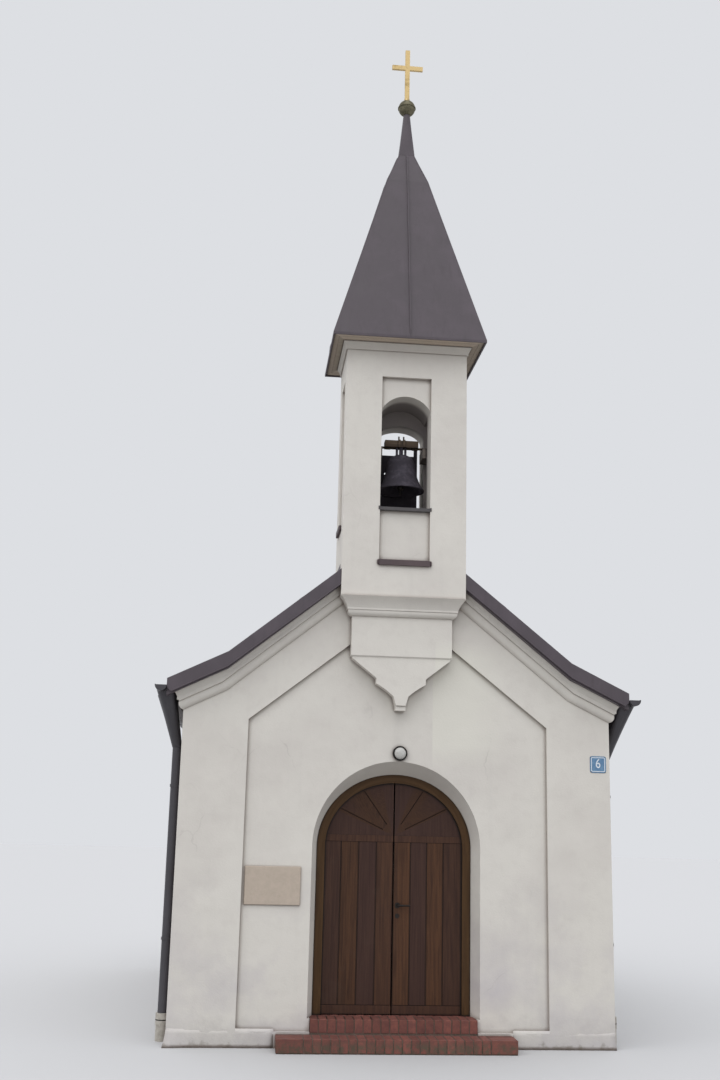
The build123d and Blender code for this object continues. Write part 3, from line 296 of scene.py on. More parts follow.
# %% Make the sheet metals
SHEET_WAVE = 0.35       # metres between the soft buckles of a sheet
CHALK_PATCH = 1 / 2.6   # metres across a patch of chalked paint
RUN_WIDE, RUN_LONG = 1 / 22, 1 / 1.3    # metres across and down a run of grime
PAINT_PEEL = 1 / 240    # metres between the dimples of the paint


def sheet_metal(name, base, chalked, grime, roughness):
    """Painted or weathered steel sheet with soft buckles, chalking and drips."""
    made, tree, shader, place = start_material(name)
    chalk = add(tree, "TexNoise",
                {"Vector": place, "Scale": 1 / CHALK_PATCH, "Detail": 6.0, "Roughness": 0.62})
    drawn_down = add(tree, "Mapping",
                     {"Vector": place, "Scale": (1 / RUN_WIDE, 1 / RUN_WIDE, 1 / RUN_LONG)})
    run = add(tree, "TexNoise", {"Vector": drawn_down, "Scale": 1.0, "Detail": 3.0})
    tint = lay_tints(tree, linear(base), (chalked, 1.0, (chalk, 0.45, 0.75)),
                     (grime, 0.3, (run, 0.55, 0.8)))
    dull = add(tree, "MapRange", {"Value": chalk, "From Min": 0.3, "From Max": 0.75,
                                  "To Min": roughness - 0.08, "To Max": roughness + 0.14})
    buckle = add(tree, "TexNoise", {"Vector": place, "Scale": 1 / SHEET_WAVE, "Detail": 1.0})
    peel = add(tree, "TexNoise", {"Vector": place, "Scale": 1 / PAINT_PEEL, "Detail": 1.0})
    finish_surface(tree, shader, tint, dull, (buckle, 0.012, 0.5), (peel, 0.0003, 0.3))
    return made


painted_sheet_steel = sheet_metal("painted_sheet_steel", "#4B4349", "#584F56", "#3C3438", 0.5)
sill_sheet_steel = sheet_metal("sill_sheet_steel", "#484546", "#535051", "#353132", 0.55)
ledge_sheet_steel = sheet_metal("ledge_sheet_steel", "#4D4042", "#594B4D", "#382E2F", 0.6)
gutter_sheet_steel = sheet_metal("gutter_sheet_steel", "#3C3A3F", "#47454A", "#2A282A", 0.5)

# %% [markdown]
# ## Stained oak and other woods
# Oak is ring-porous: each year leaves a pale and a dark band, sawn lengthwise into long
# streaks, with open pores as fine dark dashes. The door was stained red-brown and oiled, and
# every board took the stain a little differently. The `tone` stored on each board's mesh
# chooses its shade and whether it leans to gold or to purple. Grain runs along one axis,
# which is given when the wood is made. The door frame is bent round the arch, and its grain
# follows the distance from the arch's middle. Joints and grooves collect oil and dust and
# lie in shade, so they are found with Ambient Occlusion and darkened with painted shade.

# %% Make the woods
RING_WIDTH = 0.022      # metres between the growth rings as a flat-sawn board shows them
PORES_A_RING = 14       # open pores from one growth ring to the next
WORN_PATCH = 1 / 3.2    # metres across a patch where the stain has worn
JOINT_SHADE = 0.03      # metres from a joint in which oil, dust and painted shade darken the wood
BOARD_SHIFT = (3.7, 5.1, 7.3)   # metres that a tone of one moves the grain, so no two boards match


def wood(name, dark, light, purple, grey, roughness, along, curved=False):
    """Sawn timber whose grain runs along an axis, or round the doorway's arch."""
    made, tree, shader, place = start_material(name, Specular_IOR_Level=0.3)
    stretch = [0.04 if axis == along else 1.0 for axis in "XYZ"]
    if curved:
        axes = add(tree, "SeparateXYZ", {0: place}).outputs
        over = add(tree, "Math", {0: axes["Z"], 1: ARCH_SPRING}, operation="SUBTRACT")
        over = add(tree, "Math", {0: over, 1: 0.0}, operation="MAXIMUM")
        flat = add(tree, "CombineXYZ", {"X": axes["X"], "Y": over})
        ring = add(tree, "VectorMath", {0: flat}, operation="LENGTH")
        place = add(tree, "CombineXYZ", {"X": ring, "Y": axes["Y"], "Z": axes["Z"]})
        stretch = (1.0, 1.0, 0.05)
    tone = add(tree, "Attribute", attribute_name="tone").outputs["Fac"]
    shift = add(tree, "VectorMath", {0: BOARD_SHIFT, "Scale": tone}, operation="SCALE")
    shifted = add(tree, "VectorMath", {0: place, 1: shift}, operation="ADD")
    grain = add(tree, "Mapping", {"Vector": shifted, "Scale": stretch})
    rings = add(tree, "TexNoise",
                {"Vector": grain, "Scale": 1 / RING_WIDTH, "Detail": 3.0, "Distortion": 0.8})
    ringed = add(tree, "MapRange", {"Value": rings, "From Min": 0.34, "From Max": 0.66,
                                    "To Min": 0.2, "To Max": 0.8})
    tint = add(tree, "Mix", {"Factor": ringed, "A": linear(dark), "B": linear(light)}, data_type="RGBA")
    pores = add(tree, "TexNoise", {"Vector": grain, "Scale": PORES_A_RING / RING_WIDTH, "Detail": 1.0})
    cool = add(tree, "Math", {0: tone, 1: 3.0}, operation="MULTIPLY")
    cool = add(tree, "Math", {0: cool}, operation="FRACT")
    # Dust and painted shade: the wood darkens near joints and in grooves, where Ambient Occlusion finds
    # them.
    joint_dust_and_shade = add(tree, "AmbientOcclusion", {"Distance": JOINT_SHADE}, samples=8).outputs["AO"]
    tint = lay_tints(tree, tint, (dark, 0.55, (pores, 0.58, 0.7)), (purple, 0.65, (cool, 0.25, 0.75)),
                     ("#120C09", 0.95, (joint_dust_and_shade, 0.93, 0.6)))
    # The tone scales the brightness: a stain on the door boards, and painted shade on the soffit's side
    # boards.
    stain_and_shade = add(tree, "MapRange", {"Value": tone, "To Min": 0.8, "To Max": 1.2})
    tint = add(tree, "VectorMath", {0: tint, "Scale": stain_and_shade}, operation="SCALE")
    worn = add(tree, "TexNoise",
               {"Vector": place, "Scale": 1 / WORN_PATCH, "Detail": 5.0, "Roughness": 0.65})
    tint = lay_tints(tree, tint, (grey, 0.3, (worn, 0.6, 0.85)))
    sheen = add(tree, "MapRange", {"Value": rings, "From Min": 0.3, "From Max": 0.7,
                                   "To Min": roughness + 0.1, "To Max": roughness - 0.06})
    finish_surface(tree, shader, tint, sheen, (rings, 0.0012, 0.5), (pores, 0.0005, 0.4))
    return made


stained_oak = wood("stained_oak", "#301C12", "#53341D", "#3B2623", "#4A3A30", 0.6, "Z")
stained_oak_bent = wood("stained_oak_bent", "#382511", "#573D1E", "#452D14", "#4A3D2B", 0.6, "Z", True)
weathered_oak = wood("weathered_oak", "#5A534E", "#7C746D", "#68605B", "#736C67", 0.75, "Y")
weathered_oak_across = wood("weathered_oak_across", "#3D3129", "#6E5D4B", "#55493F", "#655C52", 0.75, "X")
dark_boards = wood("dark_boards", "#3D3940", "#4D4850", "#433F46", "#48444B", 0.8, "Z")
# Stain and painted shade: the eaves boards are dark brown, partly as their own stain and partly as the
# shade under the eaves.
eaves_boards_stain_and_shade = wood("eaves_boards_stain_and_shade", "#3A2E28", "#524238", "#433630", "#4A413B", 0.75, "Y")
painted_boards = wood("painted_boards", "#A89C8D", "#B8AC9C", "#AFA092", "#998C80", 0.7, "X")

# %% [markdown]
# ## Clinker, mortar and stones
# Clinker is brick clay fired until it sinters, so it is dense, purplish red and never two
# bricks alike. The mortar between the bricks has taken on their dust and is a dull brown.
# Moss grows on both, low down where they stay damp. The floor and the window sills are a
# plain sandstone, and the plaque is a fine honed limestone.

# %% Make the mineral materials
MOSS_TOP, MOSS_FULL = 0.118, 0.06       # metres over the ground, where moss starts and is full
BRICK_SHIFT = (7.1, 3.3, 5.7)           # metres that a tone of one moves a brick's pattern


def mineral(name, base, patch, speck, roughness, patch_size, grain_size, depth, moss=None):
    """Brick, mortar or stone: patches of tone, specks, a grainy surface and moss low down."""
    made, tree, shader, place = start_material(name)
    height = add(tree, "SeparateXYZ", {0: place}).outputs["Z"]
    tone = add(tree, "Attribute", attribute_name="tone").outputs["Fac"]
    shift = add(tree, "VectorMath", {0: BRICK_SHIFT, "Scale": tone}, operation="SCALE")
    place = add(tree, "VectorMath", {0: place, 1: shift}, operation="ADD")
    patches = add(tree, "TexNoise",
                  {"Vector": place, "Scale": 1 / patch_size, "Detail": 5.0, "Roughness": 0.62})
    specks = add(tree, "TexNoise", {"Vector": place, "Scale": 1 / grain_size, "Detail": 2.0})
    tint = lay_tints(tree, linear(base), (patch, 1.0, (patches, 0.38, 0.66)),
                     (speck, 0.6, (specks, 0.58, 0.68)))
    if moss:
        tint = lay_tints(tree, tint, (moss, 0.8, (height, MOSS_TOP, MOSS_FULL), (patches, 0.4, 0.6)))
    fired = add(tree, "MapRange", {"Value": tone, "To Min": 0.84, "To Max": 1.2})
    tint = add(tree, "VectorMath", {0: tint, "Scale": fired}, operation="SCALE")
    finish_surface(tree, shader, tint, roughness, (patches, depth * 2, 0.6), (specks, depth, 0.6))
    return made


clinker_brick = mineral("clinker_brick", "#77463C", "#633B35", "#453230", 0.75, 0.05, 0.004, 0.0008,
                        "#4E4838")
brick_mortar = mineral("brick_mortar", "#5D4A42", "#4B3F37", "#75685C", 0.9, 0.06, 0.003, 0.0008, "#3F3B2C")
sandstone = mineral("sandstone", "#9A917F", "#877E6E", "#B0A692", 0.85, 0.12, 0.004, 0.0006)
honed_limestone = mineral("honed_limestone", "#B5A799", "#ADA092", "#BDB1A4", 0.7, 0.05, 0.004, 0.0004)

# %% [markdown]
# ## Bronze, gold and iron
# The bell is cast bronze with the dark purple-grey, almost matt skin that it gets outdoors.
# The cross is gilded metal, worn to duller patches. The ball has an olive patina, the
# ironwork is waxed black, and the cast foot of each downpipe has a pale grey paint. A skin
# of patina or paint isn't metal, so the metallic value is lower there. All of them keep
# Blender's default IOR.

# %% Make the metals
CAST_GRAIN = 1 / 260    # metres; moulding sand is finer, but is drawn as coarse as it can show


def metal(name, base, patina, share, roughness, patch_size, metallic=1.0):
    """Cast or wrought metal with a patina that starts in patches."""
    made, tree, shader, place = start_material(name, Metallic=metallic)
    patches = add(tree, "TexNoise",
                  {"Vector": place, "Scale": 1 / patch_size, "Detail": 6.0, "Roughness": 0.66})
    fresh, aged = 0.66 - share * 0.4, 0.78 - share * 0.3
    tint = lay_tints(tree, linear(base), (patina, 1.0, (patches, fresh, aged)))
    dull = add(tree, "MapRange", {"Value": patches, "From Min": fresh, "From Max": aged,
                                  "To Min": roughness, "To Max": roughness + 0.25})
    cast = add(tree, "TexNoise", {"Vector": place, "Scale": 1 / CAST_GRAIN, "Detail": 2.0})
    finish_surface(tree, shader, tint, dull, (cast, 0.0006, 0.4), (patches, 0.001, 0.4))
    return made


bell_bronze = metal("bell_bronze", "#524D57", "#454149", 0.8, 0.7, 0.09, metallic=0.4)
gilded_metal = metal("gilded_metal", "#CFB684", "#AE9768", 0.35, 0.42, 0.16)
patinated_ball = metal("patinated_ball", "#746E58", "#5E5A48", 0.6, 0.5, 0.08, metallic=0.5)
black_iron = metal("black_iron", "#2B2928", "#3A302A", 0.4, 0.5, 0.03, metallic=0.7)
grey_cast_iron = metal("grey_cast_iron", "#B2ADA4", "#9A948B", 0.5, 0.6, 0.06, metallic=0.0)

# %% [markdown]
# ## Glass and enamel
# Window glass is thin, clear and slightly green. The lamp has opal glass, which scatters the
# light, so it is a white, glossy solid under some dust. Enamel is glass fused to steel: deep
# colour under a hard gloss, in the blue and white of house numbers.

# %% Make the glasses
GLASS_RIPPLE = 1 / 6    # metres between the ripples of drawn window glass
DUST_SPOT, FADED_SPOT = 1 / 45, 1 / 30      # metres across a spot of dust and of faded enamel

window_glass, tree, shader, place = start_material("window_glass", IOR=1.5, Transmission_Weight=0.9)
ripple = add(tree, "TexNoise", {"Vector": place, "Scale": 1 / GLASS_RIPPLE, "Detail": 1.0})
finish_surface(tree, shader, linear("#DCE6E2"), 0.04, (ripple, 0.002, 0.3))


def glaze(name, base, faded, spot, detail, fresh, full, roughness, ior):
    """Opal glass or vitreous enamel, duller in soft spots."""
    made, tree, shader, place = start_material(name, IOR=ior)
    dust = add(tree, "TexNoise", {"Vector": place, "Scale": 1 / spot, "Detail": detail})
    tint = lay_tints(tree, linear(base), (faded, 1.0, (dust, fresh, full)))
    finish_surface(tree, shader, tint, roughness)
    return made


opal_glass = glaze("opal_glass", "#BDBCB8", "#ABA8A2", DUST_SPOT, 4.0, 0.45, 0.8, 0.4, 1.5)
blue_enamel = glaze("blue_enamel", "#577C9F", "#6C90AE", FADED_SPOT, 3.0, 0.4, 0.75, 0.16, 1.52)
white_enamel = glaze("white_enamel", "#DDE3E8", "#CBD3DA", FADED_SPOT, 3.0, 0.4, 0.75, 0.16, 1.52)

# %% [markdown]
# ## Dress the CAD pieces
# Where the CAD shape is already right, the piece stays and only takes its finish.

# %% Give the CAD pieces their finishes
FINISHES = {
    lime_render: ("front_wall_left", "front_wall_right", "front_gable", "left_wall", "right_wall",
                  "rear_wall", "front_cornices", "rear_cornices", "corbel_box",
                  "corbel_moulding", "corbel_pendant", "tower_base", "tower_front_jambs",
                  "tower_side_walls", "tower_rear_jambs", "tower_head", "tower_cornice"),
    painted_sheet_steel: ("roof_left", "roof_right", "ridge_cap", "front_verges", "rear_verges",
                          "spire", "spire_cap"),
    sill_sheet_steel: ("bell_sills",),
    ledge_sheet_steel: ("tower_ledges",),
    gutter_sheet_steel: ("gutters", "downpipes"),
    painted_boards: ("spire_soffit",),
    dark_boards: ("rear_shutter",),
    eaves_boards_stain_and_shade: ("eaves_cornices",),
    patinated_ball: ("spire_ball",),
    gilded_metal: ("spire_cross",),
    grey_cast_iron: ("standpipes",),
    clinker_brick: ("lower_step", "upper_step"),
    stained_oak: ("door_leaf_left", "door_leaf_right", "window_frames"),
    stained_oak_bent: ("door_frame",),
    black_iron: ("door_hinges", "door_roses", "door_handle", "bell_clapper"),
    window_glass: ("window_glass",),
    sandstone: ("window_sills", "floor_slab"),
    opal_glass: ("wall_lamp",),
    honed_limestone: ("plaque",),
    blue_enamel: ("number_plate",),
    bell_bronze: ("bell",),
    weathered_oak_across: ("bell_headstock",),
    weathered_oak: ("bell_bearers",),
}


def give_plain_tone(mesh):
    """Stores the middle tone on every point of a mesh."""
    tone = mesh.attributes.new("tone", "FLOAT", "POINT")
    tone.data.foreach_set("value", [0.5] * len(mesh.vertices))


for finish, names in FINISHES.items():
    for name in names:
        mesh = nodes[name].data
        mesh.materials.clear()
        mesh.materials.append(finish)
        give_plain_tone(mesh)
print("dressed", sum(len(names) for names in FINISHES.values()), "of", len(nodes), "nodes")

# %% [markdown]
# ## Pieces that a builder adds on site
# The CAD model holds the walls, the roof forms and everything that moves. The bricks, boards,
# seams, grooves, screws and straps come now. Each is drawn at its real size and rides on the
# body that carries it. Most are one of a few simple forms: a chamfered block, a skin from
# ring to ring of points, an outline carried along a line, a round bar through points, or a
# profile turned on a lathe. They are built in a bmesh, Blender's editable kind of mesh,
# where each point carries a tone.

# %% Mesh helpers
FACING_FRONT = Matrix.Rotation(math.radians(90), 4, "X")
random.seed(7)


def new_piece(name, bm, finish, body="building"):
    """Turns a bmesh into an object with its finish and its body."""
    bmesh.ops.recalc_face_normals(bm, faces=bm.faces)
    mesh = bpy.data.meshes.new(name)
    bm.to_mesh(mesh)
    bm.free()
    mesh.materials.append(finish)
    if "tone" not in mesh.attributes:
        give_plain_tone(mesh)
    piece = bpy.data.objects.new(name, mesh)
    bpy.context.scene.collection.objects.link(piece)
    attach(piece, body)
    return piece


def start_mesh():
    """An empty bmesh whose points carry a tone."""
    bm = bmesh.new()
    bm.verts.layers.float.new("tone")
    return bm


def add_block(bm, corner, opposite, tone=0.5, edge=0.0, turn=None):
    """A block between two opposite corners, with chamfered edges, turned on its middle."""
    tones = bm.verts.layers.float["tone"]
    middle = [(a + b) / 2 for a, b in zip(corner, opposite)]
    size = [abs(b - a) for a, b in zip(corner, opposite)]
    place = Matrix.Translation(middle) @ (turn or Matrix.Identity(4)) @ Matrix.Diagonal((*size, 1.0))
    made = bmesh.ops.create_cube(bm, size=1.0, matrix=place)["verts"]
    for vert in made:
        vert[tones] = tone
    if edge:
        edges = list({e for v in made for e in v.link_edges})
        bmesh.ops.bevel(bm, geom=edges, offset=edge, segments=1, affect="EDGES", clamp_overlap=True)


def add_skin(bm, rings, tone=0.5, capped=True):
    """A skin from ring to ring of points, with a cap over the first ring and the last."""
    tones = bm.verts.layers.float["tone"]
    rings = [[bm.verts.new(point) for point in ring] for ring in rings]
    for ring in rings:
        for vert in ring:
            vert[tones] = tone
    for low, high in zip(rings, rings[1:]):
        for k in range(len(low)):
            m = (k + 1) % len(low)
            bm.faces.new((low[k], low[m], high[m], high[k]))
    if capped:
        bm.faces.new(list(reversed(rings[0])))
        bm.faces.new(rings[-1])


def add_prism(bm, outline, along, tone=0.5):
    """A flat outline of points carried along a vector."""
    add_skin(bm, [outline, [Vector(p) + Vector(along) for p in outline]], tone)


def add_lathe(bm, profile, place, steps=32):
    """A turned form: a profile of radius and height, spun round its Z axis and put in place."""
    tones = bm.verts.layers.float["tone"]
    made = [bm.verts.new((r, 0, h)) for r, h in profile]
    edges = [bm.edges.new(pair) for pair in zip(made, made[1:])]
    bmesh.ops.spin(bm, geom=made + edges, cent=(0, 0, 0), axis=(0, 0, 1), angle=2 * math.pi,
                   steps=steps, use_merge=True)
    # The points without a tone are the ones that the spin has just made.
    verts = list({v for e in bm.edges for v in e.verts if v[tones] == 0.0})
    for vert in verts:
        vert[tones] = 0.5
    bmesh.ops.transform(bm, matrix=place, verts=verts)
    bmesh.ops.remove_doubles(bm, verts=verts, dist=0.00001)


def add_rod(bm, points, radius, sides=8):
    """A round bar through points, mitred at each bend."""
    points = [Vector(p) for p in points]
    turns = [2 * math.pi * k / sides for k in range(sides)]
    rings = []
    for i, point in enumerate(points):
        before = (point - points[i - 1]).normalized() if i else None
        after = (points[i + 1] - point).normalized() if i + 1 < len(points) else None
        way = (before + after).normalized() if before and after else (before or after)
        stretch = 1 / max(0.3, way.dot(after or before))
        level = Vector((0, 0, 1)) if abs(way.z) < 0.9 else Vector((1, 0, 0))
        across = way.cross(level).normalized() * radius
        upward = across.cross(way).normalized() * radius * stretch
        rings.append([point + across * math.cos(t) + upward * math.sin(t) for t in turns])
    add_skin(bm, rings)


def stand_up(outline, side, y):
    """An outline in x and z, mirrored to the left where side is -1, and set up at one y."""
    return [(side * x, y, z) for x, z in outline]


print("helpers ready")

# %% [markdown]
# ## Brick steps
# Both steps are bricks on edge, a rowlock course, with their short faces to the front. A
# bricklayer sets them on a bed of mortar and rakes the joints back a little. Each brick is a
# chamfered block of 71 by 115 by 240 mm, turned and sunk by a millimetre or so at random,
# around a mortar core that stands 4 mm inside their faces. No two bricks fire to one colour,
# so each gets its own tone. The lower step has three bricks turned across at each end. The
# upper one lies in three rows, from the facade through the doorway to the door.

# %% Lay the bricks
BRICK_WIDE, BRICK_HIGH, BRICK_LONG = 0.071, 0.115, 0.240
BRICK_PITCH, END_PITCH = 0.0804, 0.0815
BRICK_EDGE = 0.003
BRICK_TURN = 0.006      # radians
JOINT = 0.010
JOINT_BACK = 0.004
FIT = 0.0005            # metres by which a piece stays clear of the CAD surface

LOWER_LOW, LOWER_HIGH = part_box("lower_step")
LOWER_FRONT, LOWER_HALF, LOWER_TOP = LOWER_LOW[1], LOWER_HIGH[0], LOWER_HIGH[2] - FIT
UPPER_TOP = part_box("upper_step")[1][2] - FIT
UPPER_HALF = 0.771
THROAT_HALF, REBATE_HALF = 0.735, 0.800     # half the doorway's width at its frame and inside it
REBATE_FRONT, REBATE_BACK = FACADE + 0.502, FACADE + 0.599


def lay_row(bm, half, y0, y1, top):
    """A row of bricks on edge between -half and half, with the joints shared out."""
    count = max(1, round(2 * half / BRICK_PITCH))
    pitch = (2 * half + JOINT) / count
    for i in range(count):
        left = i * pitch - half
        sink = random.uniform(0.0, 0.002)
        turn = Matrix.Rotation(random.uniform(-BRICK_TURN, BRICK_TURN), 4, "Z")
        back = random.uniform(0.0, 0.002)
        add_block(bm, (left, y0 + back, top - BRICK_HIGH - sink), (left + pitch - JOINT, y1, top - sink),
                  random.random(), BRICK_EDGE, turn)


bm = start_mesh()
lay_row(bm, LOWER_HALF - BRICK_LONG - JOINT, LOWER_FRONT, LOWER_FRONT + BRICK_LONG, LOWER_TOP)
for side in (-1, 1):
    for k in range(3):
        y = LOWER_FRONT + k * END_PITCH
        add_block(bm, (side * (LOWER_HALF - BRICK_LONG), y, LOWER_TOP - BRICK_HIGH),
                  (side * LOWER_HALF, y + BRICK_WIDE, LOWER_TOP), random.random(), BRICK_EDGE,
                  Matrix.Rotation(random.uniform(-BRICK_TURN, BRICK_TURN), 4, "Z"))
lower_bricks = new_piece("lower_step_bricks", bm, clinker_brick)
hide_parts("lower_step")

bm = start_mesh()
add_block(bm, (JOINT_BACK - LOWER_HALF, LOWER_FRONT + JOINT_BACK, 0.0),
          (LOWER_HALF - JOINT_BACK, FACADE - FIT, LOWER_TOP - JOINT_BACK))
lower_mortar = new_piece("lower_step_mortar", bm, brick_mortar)
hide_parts("lower_step")

bm = start_mesh()
lay_row(bm, UPPER_HALF, FACADE + 0.001, FACADE + BRICK_LONG, UPPER_TOP)
lay_row(bm, THROAT_HALF, FACADE + BRICK_LONG + JOINT, FACADE + 2 * BRICK_LONG + JOINT, UPPER_TOP)
lay_row(bm, REBATE_HALF, REBATE_FRONT, REBATE_BACK, UPPER_TOP)
upper_bricks = new_piece("upper_step_bricks", bm, clinker_brick)
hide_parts("upper_step")

bm = start_mesh()
for half, front, rear, low, top in (
        (UPPER_HALF, 0.001, 0.04, 0.0, 0.131),
        (THROAT_HALF + 0.006, 0.03, 0.598, 0.0, UPPER_TOP - JOINT_BACK),
        (UPPER_HALF - 0.002, 0.006, 0.2, 0.1, UPPER_TOP - JOINT_BACK)):
    add_block(bm, (-half, FACADE + front, low), (half, FACADE + rear, top))
upper_mortar = new_piece("upper_step_mortar", bm, brick_mortar)
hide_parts("upper_step")
print("bricks laid:", len(lower_bricks.data.polygons) + len(upper_bricks.data.polygons), "faces")

# %% [markdown]
# ## Door boards
# Each leaf is a frame clad with four upright oak boards, fixed side by side with a small
# chamfer on each edge, so that every joint reads as a V. Real boards differ in width and
# take the stain differently. The arched head over the middle rail is one panel with V
# grooves routed into it like the ribs of a fan; the grooves are cut with Blender's Boolean
# modifier, which takes a wedge-shaped cutter away from the panel.

# %% Fit the boards and the fan
BOARD_THICK, BOARD_GAP, BOARD_EDGE = 0.0059, 0.0045, 0.006
PANEL_FACE = -2.6241    # the face of a leaf's sunk panels, on which the boards lie
BOARD_LOW, BOARD_TOP = 0.336, 1.8185
BOARD_JOINTS = {
    "left_leaf": ((-0.675, -0.506, 0.20), (-0.506, -0.337, 0.38), (-0.337, -0.167, 0.25),
                  (-0.167, -0.006, 0.46)),
    "right_leaf": ((0.006, 0.164, 0.72), (0.164, 0.323, 0.24), (0.323, 0.483, 0.70),
                   (0.483, 0.675, 0.17)),
}
HEAD_LOW, HEAD_HALF, HEAD_RISE, HEAD_STEPS = 1.8805, 0.6765, 0.6165, 40
HEAD_INNER, HEAD_OUTER = 0.007, 0.666
HEAD_TONE = {"left_leaf": 0.24, "right_leaf": 0.26}
FAN_HUB, FAN_START = Vector((0.0, 0.0, 1.885)), 0.12
FAN_HALF, FAN_RISE = 0.645, 0.585       # the grooves end on this smaller arch
GROOVE_ANGLES = {"left_leaf": (180 - 24.9, 180 - 54.2), "right_leaf": (26.6, 56.2)}
GROOVE_HALF, GROOVE_DEEP = 0.0055, 0.0050


def head_outline(x0, x1):
    """The arched head between two sides, as points in the plane of the door's face."""
    points = [(x0, HEAD_LOW), (x1, HEAD_LOW)]
    for k in range(HEAD_STEPS + 1):
        x = x1 + (x0 - x1) * k / HEAD_STEPS
        height = ARCH_SPRING + HEAD_RISE * math.sqrt(max(0.0, 1 - (x / HEAD_HALF) ** 2))
        if height > HEAD_LOW:
            points.append((x, height))
    return points


def groove_cutter(angles):
    """Wedges that point into the door's face, one for each groove of the fan."""
    cut = bmesh.new()
    face = PANEL_FACE - BOARD_THICK
    for angle in angles:
        way = Vector((math.cos(math.radians(angle)), 0, math.sin(math.radians(angle))))
        half = Vector((-way.z, 0, way.x)) * GROOVE_HALF
        reach = FAN_START
        near = far = FAN_HUB + way * reach
        while (far.x / FAN_HALF) ** 2 + ((far.z - ARCH_SPRING) / FAN_RISE) ** 2 <= 1:
            reach += 0.002
            far = FAN_HUB + way * reach
        rim = (near + half, near - half, far - half, far + half)
        top = [cut.verts.new((p.x, face - 0.001, p.z)) for p in rim]
        deep = [cut.verts.new((p.x, face + GROOVE_DEEP, p.z)) for p in (near, far)]
        cut.faces.new(top)
        cut.faces.new((top[0], top[1], deep[0]))
        cut.faces.new((top[2], top[3], deep[1]))
        cut.faces.new((top[1], top[2], deep[1], deep[0]))
        cut.faces.new((top[3], top[0], deep[0], deep[1]))
    bmesh.ops.recalc_face_normals(cut, faces=cut.faces)
    cut_mesh = bpy.data.meshes.new("groove_cutter")
    cut.to_mesh(cut_mesh)
    cut.free()
    cutter = bpy.data.objects.new("groove_cutter", cut_mesh)
    bpy.context.scene.collection.objects.link(cutter)
    return cutter


def carve(piece, cutter):
    """Cuts one object out of another and keeps the result as a plain mesh."""
    step = piece.modifiers.new("cut", "BOOLEAN")
    step.object = cutter
    step.operation = "DIFFERENCE"
    step.solver = "EXACT"
    bpy.context.view_layer.update()
    graph = bpy.context.evaluated_depsgraph_get()
    cut_mesh = bpy.data.meshes.new_from_object(piece.evaluated_get(graph))
    piece.modifiers.clear()
    piece.data = cut_mesh
    bpy.data.objects.remove(cutter)


for body, boards in BOARD_JOINTS.items():
    bm = start_mesh()
    for x0, x1, tone in boards:
        add_block(bm, (x0 + BOARD_GAP, PANEL_FACE - BOARD_THICK, BOARD_LOW),
                  (x1 - BOARD_GAP, PANEL_FACE, BOARD_TOP), tone, BOARD_EDGE)
    new_piece(body + "_boards", bm, stained_oak, body)

    bm = start_mesh()
    sides = (-HEAD_OUTER, -HEAD_INNER) if body == "left_leaf" else (HEAD_INNER, HEAD_OUTER)
    outline = stand_up(head_outline(*sides), 1, PANEL_FACE - BOARD_THICK)
    add_prism(bm, outline, (0, BOARD_THICK, 0), HEAD_TONE[body])
    head = new_piece(body + "_head_panel", bm, stained_oak, body)
    carve(head, groove_cutter(GROOVE_ANGLES[body]))
    print(body, "panel faces:", len(head.data.polygons))

# %% [markdown]
# ## Sheet roofing
# A roofer joins the steel sheets with standing seams: the two edges are folded up together
# into a rib about 25 mm high. On the spire one seam runs down the middle of each face, a
# small roll covers each hip, and the foot of the sheet is folded into a drip. The seams
# sink into the CAD surface by one millimetre, so that no gap shows.

# %% Fold the seams
SEAM_HIGH, SEAM_THICK, SEAM_SUNK = 0.024, 0.007, 0.001
SEAM_START, SEAM_PITCH = -3.04, 0.61
EAVE, KINK, RIDGE_Z = Vector((2.224, 3.268)), Vector((1.661, 3.542)), 4.880
RIDGE_SHEET = 0.118     # half the width of the ridge sheet, under which the seams end
SPIRE_LEVELS = ((0.775, 0.613, 6.752), (0.222, 0.1756, 8.705), (0.084, 0.06644, 9.066))
FACE_SEAM_HIGH, FACE_SEAM_WIDE = 0.016, 0.0126
ROLL_RADIUS, ROLL_TUCKS = 0.011, (0.0125, 0.0078, 0.0078)
DRIP_HALF_X, DRIP_HALF_Y, DRIP_Z, DRIP_RADIUS = 0.769, 0.607, 6.7325, 0.0055


def slope_line(lift):
    """The roof's top line from the eave to the ridge sheet, raised square to the sheet."""
    low = (KINK - EAVE).normalized()
    high = Vector((-KINK.x, RIDGE_Z - KINK.y)).normalized()
    up_low = Vector((low.y, -low.x))
    up_high = Vector((high.y, -high.x))
    stop = KINK + high * ((KINK.x - RIDGE_SHEET) / -high.x)
    return [EAVE + up_low * lift, KINK + (up_low + up_high).normalized() * lift, stop + up_high * lift]


def spire_line(x, y):
    """The spire's foot, waist and neck, on a hip or on a face's middle by the signs of x and y."""
    return [Vector((x * half_x, TURRET_MIDDLE + y * half_y, z)) for half_x, half_y, z in SPIRE_LEVELS]


bm = start_mesh()
outline = slope_line(-SEAM_SUNK) + list(reversed(slope_line(SEAM_HIGH)))
for side in (-1, 1):
    for k in range(2, 11):
        y = SEAM_START + SEAM_PITCH * k - SEAM_THICK / 2
        add_prism(bm, stand_up(outline, side, y), (0, SEAM_THICK, 0))
new_piece("roof_seams", bm, painted_sheet_steel)

